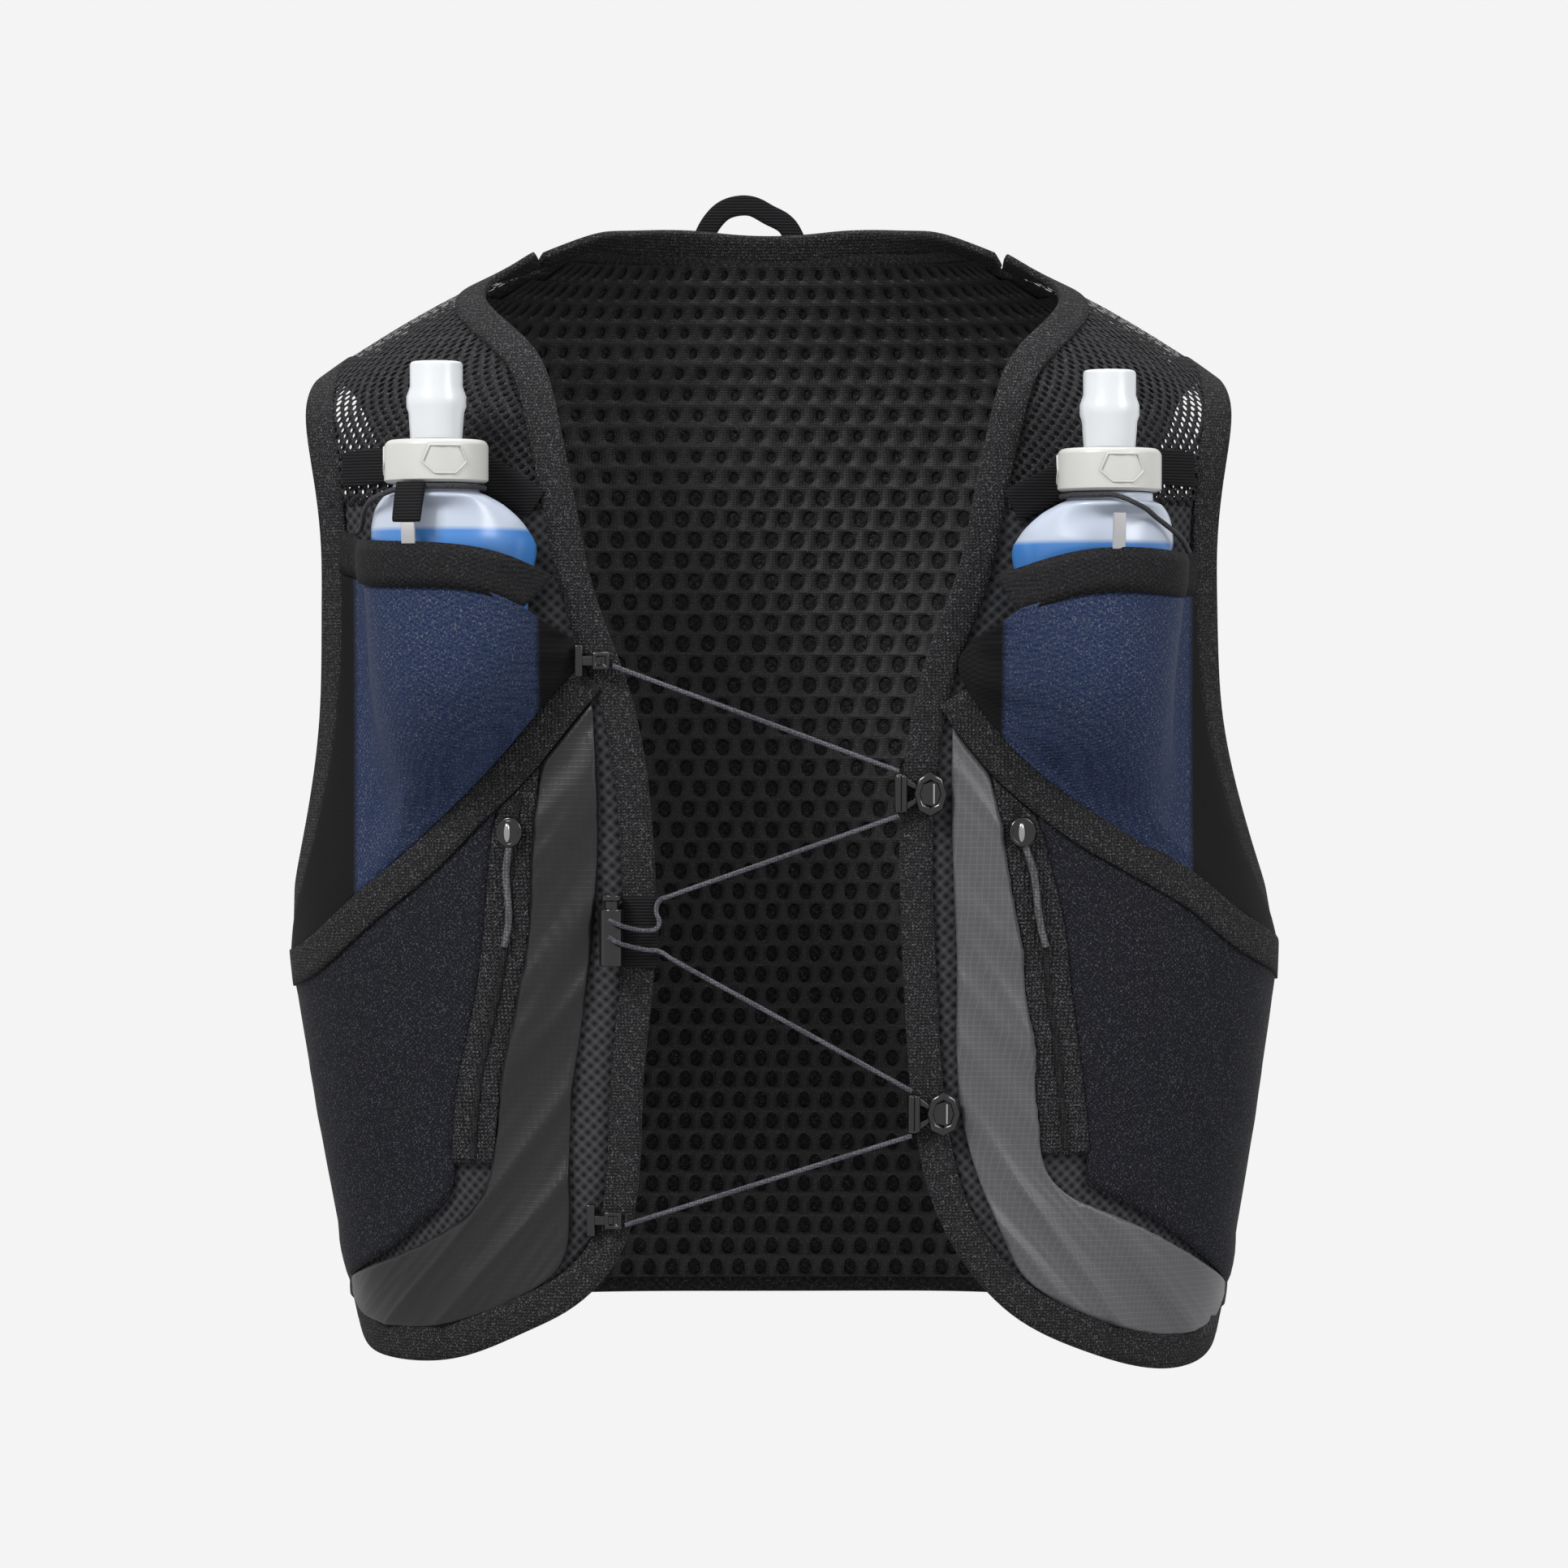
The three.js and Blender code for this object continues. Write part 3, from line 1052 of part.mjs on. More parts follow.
// Elastic lace in four runs between hooks and lock
const laceRun = (from, to, count) => Array.from({ length: count + 1 }, (_, index) =>
  from.clone().lerp(to, index / count));
const barEnd = (name, end) => hookSpots[name](
  hookRows.find((hook) => hook.name === name).inset - bowThick * 0.3,
  end * (bowHeight / 2 + laceDiameter / 2 + touchGap));
const noseEnd = (name) => hookSpots[name](
  hookRows.find((hook) => hook.name === name).inset + laceDiameter / 2 + touchGap, -laceDiameter);
const lockPoint = (row) => lifted(acrossSpot(lockPlace.across + row.across, lockPlace.drop + row.drop), row.lift);
add("lace_1", tube(laceRun(noseEnd("lace_hook_1"), barEnd("lace_hook_2", 1), 4), laceDiameter, 8), "cord");
add("lace_2", tube([...laceRun(barEnd("lace_hook_2", -1), lockPoint(laceRows.upper[0]), 4),
  ...laceRows.upper.slice(1).map(lockPoint)], laceDiameter, 22), "cord");
add("lace_3", tube([...laceRows.lower.map(lockPoint),
  ...laceRun(lockPoint(laceRows.lower[laceRows.lower.length - 1]), barEnd("lace_hook_3", 1), 4).slice(1)],
laceDiameter, 18), "cord");
add("lace_4", tube(laceRun(barEnd("lace_hook_3", -1), noseEnd("lace_hook_4"), 4), laceDiameter, 8), "cord");

export default vest;
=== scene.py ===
import math

import bmesh
import bpy
from mathutils import Matrix, Vector, noise
from mathutils.bvhtree import BVHTree


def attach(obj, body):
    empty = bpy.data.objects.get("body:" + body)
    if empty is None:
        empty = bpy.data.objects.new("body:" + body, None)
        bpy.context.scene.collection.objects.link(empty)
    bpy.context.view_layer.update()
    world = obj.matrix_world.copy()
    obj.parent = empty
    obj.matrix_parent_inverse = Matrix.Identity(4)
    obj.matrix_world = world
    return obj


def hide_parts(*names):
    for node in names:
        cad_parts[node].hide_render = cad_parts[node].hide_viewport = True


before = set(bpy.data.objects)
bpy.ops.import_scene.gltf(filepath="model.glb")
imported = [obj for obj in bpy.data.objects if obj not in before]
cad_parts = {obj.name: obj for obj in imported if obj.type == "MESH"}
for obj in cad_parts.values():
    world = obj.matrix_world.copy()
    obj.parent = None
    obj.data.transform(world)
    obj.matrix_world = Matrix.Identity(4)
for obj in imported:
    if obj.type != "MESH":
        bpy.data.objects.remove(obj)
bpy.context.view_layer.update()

# Camera: level, straight at the front, at the height of the vest's middle and as far off as the
# photograph's perspective asks
view_height = -0.205
view_distance = 3.0
field_of_view = math.radians(12.86)
camera_data = bpy.data.cameras.new("camera")
camera_data.angle = field_of_view
camera = bpy.data.objects.new("camera", camera_data)
camera.location = (0, -view_distance, view_height)
camera.rotation_euler = (math.radians(90), 0, 0)
bpy.context.collection.objects.link(camera)
bpy.context.scene.camera = camera

# Elastic lace: a 2 mm braided cord that closes the front, in four taut runs between the hooks and
# the cord lock. A route's points are in millimetres, in the order in which the cord runs.


def cord_material(name, colour, pale, pitch):
    """Braided cord: light threads with dark ones between, one for each length of the pitch."""
    wander = 0.35
    light_until = 0.12
    dark_from = 0.62
    relief = 0.0004
    material = bpy.data.materials.new(name)
    material.use_nodes = True
    nodes = material.node_tree.nodes
    links = material.node_tree.links
    shader = nodes["Principled BSDF"]
    place = nodes.new("ShaderNodeTexCoord")
    braid = nodes.new("ShaderNodeTexVoronoi")
    braid.inputs["Scale"].default_value = 1 / pitch
    braid.inputs["Randomness"].default_value = wander
    links.new(place.outputs["Object"], braid.inputs["Vector"])
    tone = nodes.new("ShaderNodeValToRGB")
    tone.color_ramp.elements[0].color = (*pale, 1)
    tone.color_ramp.elements[1].color = (*colour, 1)
    tone.color_ramp.elements[0].position = light_until
    tone.color_ramp.elements[1].position = dark_from
    links.new(braid.outputs["Distance"], tone.inputs["Fac"])
    links.new(tone.outputs["Color"], shader.inputs["Base Color"])
    bump = nodes.new("ShaderNodeBump")
    bump.inputs["Distance"].default_value = relief
    bump.invert = True
    links.new(braid.outputs["Distance"], bump.inputs["Height"])
    links.new(bump.outputs["Normal"], shader.inputs["Normal"])
    shader.inputs["Roughness"].default_value = 0.75
    shader.inputs["Specular IOR Level"].default_value = 0.12
    return material


cord_roundness = 3
cord_steps = 6


def cord(name, node, points, diameter, material):
    """A round cord through points in millimetres, in place of its node."""
    curve = bpy.data.curves.new(name, "CURVE")
    curve.dimensions = "3D"
    curve.bevel_depth = diameter / 2
    curve.bevel_resolution = cord_roundness
    curve.resolution_u = cord_steps
    spline = curve.splines.new("BEZIER")
    spline.bezier_points.add(len(points) - 1)
    for handle, point in zip(spline.bezier_points, points):
        handle.co = [value / 1000 for value in point]
        handle.handle_left_type = "AUTO"
        handle.handle_right_type = "AUTO"
    curve.use_fill_caps = True
    curve.materials.append(material)
    piece = bpy.data.objects.new(name, curve)
    bpy.context.collection.objects.link(piece)
    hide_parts(node)
    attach(piece, "vest")


lace_diameter = 0.002
lace_braid = cord_material("lace_braid", (0.034, 0.032, 0.039), (0.11, 0.105, 0.12), pitch=0.0011)
lace_routes = {
    "lace_1": [(-71.4, -102.7, -155.8), (-11.7, -101.8, -177.7), (47.9, -101, -199.7)],
    "lace_2": [(47.8, -100.3, -218.3), (-0.2, -99.6, -235.2), (-48.3, -98.9, -252),
               (-51.7, -98.6, -253.4), (-53.4, -98.1, -257.9), (-52.1, -98, -262.4),
               (-53, -97.9, -265.1), (-57.4, -98.5, -266.1), (-64.1, -101.9, -265.1),
               (-69.4, -107, -263.3), (-73, -107.6, -261.5)],
    "lace_3": [(-73, -107.2, -268.7), (-69.4, -106.4, -270.9), (-64.1, -101.3, -272.7),
               (-57.4, -97.9, -274.2), (-51.7, -97, -275), (-47.4, -96.8, -277.7),
               (3.1, -94.3, -305.6), (53.5, -91.7, -333.5)],
    "lace_4": [(53.5, -90.5, -352.1), (-6.6, -88.9, -370.9), (-66.6, -87.3, -389.7)],
}
for node, route in lace_routes.items():
    cord(f"{node}_cord", node, route, lace_diameter, lace_braid)

# Flask cords: thin braided elastic round each flask's neck, under the cap. The outer end goes down
# to the pocket's mouth, where it is sewn in.
bungee_diameter = 0.0022
bungee_braid = cord_material("bungee_braid", (0.02, 0.02, 0.022), (0.05, 0.05, 0.055), pitch=0.0009)
bungee_routes = {
    "flask_bungee_L": [
        (-135.7, -87.3, -81.9), (-130.5, -91.1, -81.9), (-126.7, -96.4, -81.9), (-124.9, -102.5, -81.9),
        (-125.1, -109, -81.9), (-127.3, -115, -81.9), (-131.3, -120, -81.9), (-136.8, -123.5, -81.9),
        (-143, -125.1, -81.9), (-149.4, -124.6, -81.9), (-155.4, -122.1, -81.9), (-168.7, -114, -85.8),
        (-174.4, -100.4, -90), (-176.7, -89.1, -96.9), (-179.8, -68.6, -99)],
    "flask_bungee_R": [
        (126.2, -86.3, -85.4), (121.9, -89.4, -85.4), (118.5, -93.5, -85.4), (116.3, -98.4, -85.4),
        (115.5, -103.6, -85.4), (116.1, -108.9, -85.4), (118.1, -113.9, -85.4), (121.3, -118.1, -85.4),
        (125.6, -121.4, -85.4), (130.5, -123.4, -85.4), (135.8, -124, -85.4), (146.4, -125.1, -89.4),
        (155.1, -113.4, -94.9), (164.3, -105.6, -101.8), (169.4, -91.1, -108)],
}
for node, route in bungee_routes.items():
    cord(f"{node}_cord", node, route, bungee_diameter, bungee_braid)

# Zip pulls: short lengths of thicker braided cord, tied to the sliders. They hang down over the
# zip tapes with their ends free.
pull_diameter = 0.003
pull_braid = cord_material("pull_braid", (0.035, 0.035, 0.038), (0.11, 0.11, 0.115), pitch=0.0014)
pull_routes = {
    "zip_pull_L": [
        (-115, -90.8, -231.1), (-115.9, -90.3, -237.1), (-116.3, -89.8, -243.1), (-115.9, -89.5, -249.2),
        (-115.4, -89.2, -255.2), (-115.2, -88.8, -261.2), (-115.9, -88.2, -267.2), (-117.3, -87.4, -273.2)],
    "zip_pull_R": [
        (100.7, -92.7, -231), (102.9, -92, -237), (104.5, -91.5, -243), (105.4, -91, -249),
        (106, -90.7, -255), (106.8, -90.2, -261.1), (108, -89.7, -267.1), (109.6, -89, -273.1)],
}
for node, route in pull_routes.items():
    cord(f"{node}_cord", node, route, pull_diameter, pull_braid)

# Bindings: matt woven tape, folded over the cut edges of the panels and pocket mouths and sewn
# through. The helpers for cloth come with them, because the bindings are the first cloth pieces.
half_width = 0.2
half_depth = 0.097
girth_radius = 0.17


def wrap_coordinates(mesh, behind):
    """Metres round the body and up it, so that threads keep one size all over a panel."""
    layer = mesh.uv_layers.new(name="wrap")
    for loop in mesh.loops:
        point = mesh.vertices[loop.vertex_index].co
        turn = math.atan2(point.x / half_width, (point.y if behind else -point.y) / half_depth)
        layer.data[loop.index].uv = (turn * girth_radius, point.z)


weld_reach = 0.00002
flat_angle = 0.7
square_angle = 1.4
sharp_angle = 1.0
rim_height = 0.0034
level_rim = 0.85
seam_reach = 1.6
back_rim = 0.5
same_way = 0.7
width_to_depth = 2


def soft(node, material, levels=2, crease=1.0, behind=False, crumple=None, tuck=0.0, ends=0.0,
         lap=0.0):
    """A smooth cloth piece from its node, with the flat facets rounded and the cut edges kept. Each
    edge is pushed out by tuck, under the binding or seam beside it: level edges further, the ends of a
    tape by ends and edges that face the back by lap. crumple gives the height of the folds."""
    cloth = bmesh.new()
    cloth.from_mesh(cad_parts[node].data)
    bmesh.ops.remove_doubles(cloth, verts=cloth.verts, dist=weld_reach)
    bmesh.ops.join_triangles(cloth, faces=cloth.faces, angle_face_threshold=flat_angle,
                             angle_shape_threshold=square_angle)
    edge_crease = cloth.edges.layers.float.new("crease_edge")
    for edge in cloth.edges:
        if len(edge.link_faces) == 2 and edge.calc_face_angle() > sharp_angle:
            edge[edge_crease] = crease
    pushes = {}
    for face in cloth.faces:
        if not tuck or face.calc_area() > rim_height * max(edge.calc_length() for edge in face.edges):
            continue
        reach = tuck * seam_reach if abs(face.normal.z) > level_rim else tuck
        if ends and all(edge[edge_crease] for edge in face.edges):
            reach = ends
        if lap and face.normal.y > back_rim:
            reach = lap
        for vertex in face.verts:
            known = pushes.setdefault(vertex, [])
            if all(face.normal.dot(push) < same_way * push.length for push in known):
                known.append(face.normal * reach)
    for vertex, known in pushes.items():
        for push in known:
            vertex.co += push
    mesh = bpy.data.meshes.new(f"{node}_cloth")
    cloth.to_mesh(mesh)
    cloth.free()
    piece = bpy.data.objects.new(f"{node}_cloth", mesh)
    bpy.context.collection.objects.link(piece)
    bpy.ops.object.select_all(action="DESELECT")
    bpy.context.view_layer.objects.active = piece
    piece.select_set(True)
    smooth = piece.modifiers.new("smooth", "SUBSURF")
    smooth.levels = levels
    bpy.ops.object.modifier_apply(modifier="smooth")
    mesh = piece.data
    if crumple:
        normals = [vertex.normal.copy() for vertex in mesh.vertices]
        for vertex, normal in zip(mesh.vertices, normals):
            away = Vector((vertex.co.x, vertex.co.y * width_to_depth, 0)).normalized()
            outward = away.dot(normal)
            vertex.co += normal * crumple(vertex.co, outward)
    for face in mesh.polygons:
        face.use_smooth = True
    wrap_coordinates(mesh, behind)
    mesh.materials.clear()
    mesh.materials.append(material)
    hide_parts(node)
    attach(piece, "vest")
    return piece


def skin_share(outward):
    """How far folds move a face: all the way where it looks out or in, and none on a cut edge."""
    cut_edge = 0.4
    return math.copysign(max(0, (abs(outward) - cut_edge) / (1 - cut_edge)), outward)


def fabric(name, colour, pale, pitch, pattern, relief, roughness=0.85, glints=0.0, gap=0.0, gloss=0.1):
    """Cloth with a weave, ribs, dots or a grid of one pitch, painted glints as pale specks, and holes if it
    is a net.
    """
    wave_length = math.pi / 10
    grid_sharpness = 14
    net_wander = 0.12
    # Painted glints: size, threshold and colour of the pale specks that stand in for light glinting off the
    # threads
    glint_scale = 1500
    glint_from = 0.55
    glint_full = 0.72
    painted_glint_colour = (0.16, 0.16, 0.17)
    material = bpy.data.materials.new(name)
    material.use_nodes = True
    nodes = material.node_tree.nodes
    links = material.node_tree.links
    shader = nodes["Principled BSDF"]
    wrap = nodes.new("ShaderNodeUVMap")
    wrap.uv_map = "wrap"
    if pattern in ("weave", "rib", "grid"):
        bands = []
        for direction in ("X", "Y") if pattern != "rib" else ("Y",):
            band = nodes.new("ShaderNodeTexWave")
            band.bands_direction = direction
            band.inputs["Scale"].default_value = wave_length / pitch
            links.new(wrap.outputs["UV"], band.inputs["Vector"])
            bands.append(band.outputs["Fac"])
        height = bands[0]
        if pattern == "grid":
            thin = []
            for band in bands:
                line = nodes.new("ShaderNodeMath")
                line.operation = "POWER"
                line.inputs[1].default_value = grid_sharpness
                links.new(band, line.inputs[0])
                thin.append(line.outputs["Value"])
            bands = thin
        if len(bands) == 2:
            both = nodes.new("ShaderNodeMath")
            both.operation = "MAXIMUM" if pattern == "grid" else "MULTIPLY"
            links.new(bands[0], both.inputs[0])
            links.new(bands[1], both.inputs[1])
            height = both.outputs["Value"]
    else:
        turned = nodes.new("ShaderNodeVectorRotate")
        turned.rotation_type = "Z_AXIS"
        turned.inputs["Angle"].default_value = math.radians(45)
        links.new(wrap.outputs["UV"], turned.inputs["Vector"])
        dots = nodes.new("ShaderNodeTexVoronoi")
        dots.voronoi_dimensions = "2D"
        dots.inputs["Scale"].default_value = 1 / pitch
        dots.inputs["Randomness"].default_value = net_wander if gap else 0.0
        links.new(turned.outputs["Vector"], dots.inputs["Vector"])
        height = dots.outputs["Distance"]
        if gap:
            hole = nodes.new("ShaderNodeMath")
            hole.operation = "GREATER_THAN"
            hole.inputs[1].default_value = gap
            links.new(height, hole.inputs[0])
            links.new(hole.outputs["Value"], shader.inputs["Alpha"])
    tone = nodes.new("ShaderNodeValToRGB")
    tone.color_ramp.elements[0].color = (*colour, 1)
    tone.color_ramp.elements[1].color = (*pale, 1)
    links.new(height, tone.inputs["Fac"])
    base = tone.outputs["Color"]
    # Painted glints: pale specks of noise mixed into the base colour stand in for light glinting off the
    # threads
    if glints:
        place = nodes.new("ShaderNodeTexCoord")
        glint_noise = nodes.new("ShaderNodeTexNoise")
        glint_noise.inputs["Scale"].default_value = glint_scale
        links.new(place.outputs["Object"], glint_noise.inputs["Vector"])
        bright = nodes.new("ShaderNodeMapRange")
        bright.inputs["From Min"].default_value = glint_from
        bright.inputs["From Max"].default_value = glint_full
        bright.inputs["To Max"].default_value = glints
        links.new(glint_noise.outputs["Fac"], bright.inputs["Value"])
        mix = nodes.new("ShaderNodeMix")
        mix.data_type = "RGBA"
        links.new(bright.outputs["Result"], mix.inputs["Factor"])
        links.new(base, mix.inputs["A"])
        mix.inputs["B"].default_value = (*painted_glint_colour, 1)
        base = mix.outputs["Result"]
    links.new(base, shader.inputs["Base Color"])
    bump = nodes.new("ShaderNodeBump")
    bump.inputs["Distance"].default_value = relief
    links.new(height, bump.inputs["Height"])
    links.new(bump.outputs["Normal"], shader.inputs["Normal"])
    shader.inputs["Roughness"].default_value = roughness
    shader.inputs["Specular IOR Level"].default_value = gloss
    return material


binding_tape = fabric("binding_tape", (0.006, 0.006, 0.0065), (0.021, 0.021, 0.022), pitch=0.0013,
                      pattern="weave", relief=0.0004, glints=0.5)
soft("collar_binding", binding_tape, crease=0.8, behind=True, tuck=0.0008, ends=0.0045)
for side in ("L", "R"):
    for node in (f"armhole_binding_{side}", f"front_binding_{side}", f"pocket_binding_{side}"):
        soft(node, binding_tape, crease=0.8, tuck=0.0008, ends=0.0035)

# Webbing: ribbed elastic tape. One strap is sewn across behind each flask's neck, the hang loop
# stands on the back of the neck, and two short tabs lie by a flask's cord and the cord lock.
webbing_rib = fabric("webbing_rib", (0.003, 0.003, 0.0035), (0.011, 0.011, 0.012), pitch=0.0013,
                     pattern="rib", relief=0.0003)
for node in ("neck_strap_L", "neck_strap_R", "flask_tab_L", "lock_tab"):
    soft(node, webbing_rib, crease=0.9, tuck=0.0012)
soft("hang_loop", webbing_rib, crease=0.7, behind=True)

# Shoulders: one layer of open knit net that lets light through. It is sewn to the back panel, and
# bound along the neck and the armhole.
shoulder_net = fabric("shoulder_net", (0.003, 0.003, 0.0035), (0.022, 0.022, 0.024), pitch=0.0034,
                      pattern="dots", relief=0.0009, glints=0.3, gap=0.33)
for node in ("shoulder_L", "shoulder_R"):
    soft(node, shoulder_net, tuck=0.003, lap=0.009)

# Fronts: black mesh that carries the pockets, sewn on it, and is bound round its edges. Its
# hexagons show beside the flasks and along the front edge.
front_mesh = fabric("front_mesh", (0.001, 0.001, 0.0012), (0.06, 0.06, 0.066), pitch=0.0036,
                    pattern="dots", relief=0.0009)
for node in ("front_panel_L", "front_panel_R"):
    soft(node, front_mesh, tuck=0.003)

# Flask pockets: navy stretch mesh drawn tight over each flask, with black knit beside it. A doubled
# band of black elastic knit is sewn round each mouth and stands a little proud.


def dark_beside(material, left, right, dark, fade):
    """Past the flask's sides the mesh lies on black cloth and shows dark."""
    nodes = material.node_tree.nodes
    links = material.node_tree.links
    shader = nodes["Principled BSDF"]
    place = nodes.new("ShaderNodeTexCoord")
    parts = nodes.new("ShaderNodeSeparateXYZ")
    links.new(place.outputs["Object"], parts.inputs["Vector"])
    shares = []
    for edge, inward in ((left, fade), (right, -fade)):
        share = nodes.new("ShaderNodeMapRange")
        share.inputs["From Min"].default_value = edge - inward
        share.inputs["From Max"].default_value = edge + inward
        links.new(parts.outputs["X"], share.inputs["Value"])
        shares.append(share.outputs["Result"])
    between = nodes.new("ShaderNodeMath")
    between.operation = "MULTIPLY"
    links.new(shares[0], between.inputs[0])
    links.new(shares[1], between.inputs[1])
    mix = nodes.new("ShaderNodeMix")
    mix.data_type = "RGBA"
    links.new(between.outputs["Value"], mix.inputs["Factor"])
    mix.inputs["A"].default_value = (*dark, 1)
    links.new(shader.inputs["Base Color"].links[0].from_socket, mix.inputs["B"])
    links.new(mix.outputs["Result"], shader.inputs["Base Color"])


def over_the_edge(point, outward):
    """Height of the mouth band over the pocket."""
    band_height = 0.0015
    return band_height * skin_share(outward)


pocket_black = (0.003, 0.003, 0.0035)
flask_sides = {"L": (-0.181, -0.1025), "R": (0.0915, 0.172)}
navy_fade = 0.0012
for side, (left, right) in flask_sides.items():
    pocket_mesh = fabric(f"pocket_mesh_{side}", (0.005, 0.0095, 0.03), (0.017, 0.03, 0.07), pitch=0.0017,
                         pattern="dots", relief=0.0003, roughness=0.7, glints=0.5)
    dark_beside(pocket_mesh, left, right, pocket_black, navy_fade)
    soft(f"flask_pocket_{side}", pocket_mesh, tuck=0.0008)
hem_knit = fabric("hem_knit", pocket_black, (0.012, 0.012, 0.013), pitch=0.0015, pattern="dots",
                  relief=0.0003, glints=0.15)
for side in ("L", "R"):
    soft(f"pocket_hem_{side}", hem_knit, tuck=0.0006, crumple=over_the_edge)

# Zip tapes: a knitted band with the closed coil down its middle. It is sewn in between the lower
# pocket and the ripstop panel.


def made_solid(name, curve, body):
    """A curve made a mesh piece that rides on its body."""
    piece = bpy.data.objects.new(name, curve)
    bpy.context.collection.objects.link(piece)
    bpy.ops.object.select_all(action="DESELECT")
    bpy.context.view_layer.objects.active = piece
    piece.select_set(True)
    bpy.ops.object.convert(target="MESH")
    piece = bpy.context.view_layer.objects.active
    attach(piece, body)


zip_knit = fabric("zip_knit", (0.004, 0.004, 0.0045), (0.03, 0.03, 0.032), pitch=0.0016,
                  pattern="weave", relief=0.0006, glints=0.6)
coil_diameter = 0.0028
coil_steps = 14
coil_below_top = 0.012
coil_above_foot = 0.002
front_facing = -0.3
near_points = 24
coil_material = cord_material("coil_knit", (0.003, 0.003, 0.0035), (0.02, 0.02, 0.022), pitch=0.0012)
for side in ("L", "R"):
    tape = soft(f"zip_tape_{side}", zip_knit)
    outer = [vertex.co for vertex in tape.data.vertices if vertex.normal.y < front_facing]
    top = max(point.z for point in outer) - coil_below_top
    bottom = min(point.z for point in outer) + coil_above_foot
    line = bpy.data.curves.new(f"zip_coil_{side}", "CURVE")
    line.dimensions = "3D"
    line.bevel_depth = coil_diameter / 2
    line.bevel_resolution = cord_roundness
    run = line.splines.new("POLY")
    run.points.add(coil_steps - 1)
    for index in range(coil_steps):
        height = top + (bottom - top) * index / (coil_steps - 1)
        level = sorted(outer, key=lambda point: abs(point.z - height))[:near_points]
        middle_x = (min(point.x for point in level) + max(point.x for point in level)) / 2
        front_y = sorted(level, key=lambda point: abs(point.x - middle_x))[0].y
        run.points[index].co = (middle_x, front_y, height, 1)
    line.materials.append(coil_material)
    made_solid(f"zip_coil_{side}", line, "vest")

# Lower pockets: dense stretch mesh, sewn flat on the fronts under the diagonal bindings. It lies in
# soft diagonal folds towards the sides.


def pocket_wrinkles(point, outward):
    """Height of the diagonal folds, deepest towards the side."""
    fold_height = 0.0045
    flat_until = 0.13
    full_after = 0.06
    slant_down = 0.8
    slant_across = 1.3
    folds = 42
    drift = 8
    pattern = 3
    softness = 1.5
    side_share = min(1, max(0, (abs(point.x) - flat_until) / full_after))
    along = point.z * slant_down + abs(point.x) * slant_across
    fold = max(0, noise.noise(Vector((along * folds, point.z * drift, pattern)))) ** softness
    return fold_height * side_share * fold * skin_share(outward)


stretch_mesh = fabric("stretch_mesh", (0.0018, 0.002, 0.0035), (0.008, 0.0085, 0.013), pitch=0.0014,
                      pattern="dots", relief=0.0003, roughness=0.75, glints=0.3)
for node in ("lower_pocket_L", "lower_pocket_R"):
    soft(node, stretch_mesh, tuck=0.0015, crumple=pocket_wrinkles)

# Ripstop panels: light shiny cloth with a grid of stronger threads, paler on one side. Each is sewn
# in between the zip tape and the front edge and creases on the slant.


def ripstop_creases(point, outward):
    """Height of the creases of light cloth, wide folds with fine sharp ones over them."""
    slant = (0.8, 0.6)
    side_edge = 0.188
    side_fade = 0.03
    layers = (
        {"height": 0.003, "across": 48, "down": 16, "shift": 0, "pattern": 0, "narrow": 2.0, "power": 2},
        {"height": 0.0007, "across": 190, "down": 50, "shift": 7, "pattern": 4, "narrow": 2.2, "power": 3},
    )
    lean = -slant[1] if point.x < 0 else slant[1]
    across = point.x * slant[0] + point.z * lean
    down = point.z * slant[0] + abs(point.x) * slant[1]
    height = 0
    for layer in layers:
        spot = Vector((across * layer["across"] + layer["shift"], down * layer["down"], layer["pattern"]))
        fold = 1 - abs(noise.noise(spot)) * layer["narrow"]
        height += layer["height"] * max(0, fold) ** layer["power"]
    from_side = min(1, max(0, (side_edge - abs(point.x)) / side_fade))
    return height * from_side * skin_share(outward)


ripstop_colours = {"L": (0.005, 0.005, 0.0058), "R": (0.052, 0.052, 0.056)}
thread_lift = 1.35
for side, colour in ripstop_colours.items():
    thread_colour = tuple(value * thread_lift for value in colour)
    ripstop = fabric(f"ripstop_{side}", colour, thread_colour, pitch=0.0024, pattern="grid",
                     relief=0.00003, roughness=0.42, gloss=0.35)
    soft(f"ripstop_panel_{side}", ripstop, levels=3, crumple=ripstop_creases)

# Back panel: spacer mesh, seen from inside. Its inner layer is a sheet pierced with staggered
# ovals, finer near the neck, that lies on a dark ground. The hem's band is of the same cloth.
dimple_across = 0.0096
dimple_down = 0.00925
oval_width = 0.0052
oval_height = 0.0074
sheet_inset = 0.0009
wall_depth = 0.0008
yoke_height = -0.072
yoke_share = 0.72
lowest_row = -0.428
highest_row = 0.03
side_columns = 36
rim_points = 8
oval_points = 16
slope_probe = 0.001
ray_reach = 0.3
ground_mesh = fabric("ground_mesh", (0.0022, 0.0022, 0.0024), (0.011, 0.011, 0.012), pitch=0.0030,
                     pattern="dots", relief=0.0008, glints=0.2)
panel_solid = bmesh.new()
for node in ("back_panel", "back_hem"):
    panel_solid.from_mesh(soft(node, ground_mesh, behind=True, tuck=0.003).data)
panel_surface = BVHTree.FromBMesh(panel_solid)
panel_solid.free()
middle_line = -0.0055
back_depth = 0.1


def on_back(turn, height):
    """The inner face of the back panel: turn 0 is its middle."""
    heading = Vector((math.sin(turn) * half_width, math.cos(turn) * back_depth, 0)).normalized()
    spot, normal, _, _ = panel_surface.ray_cast(Vector((middle_line, 0, height)), heading, ray_reach)
    if spot is None:
        return None, None
    return spot, normal if normal.dot(heading) > 0 else -normal


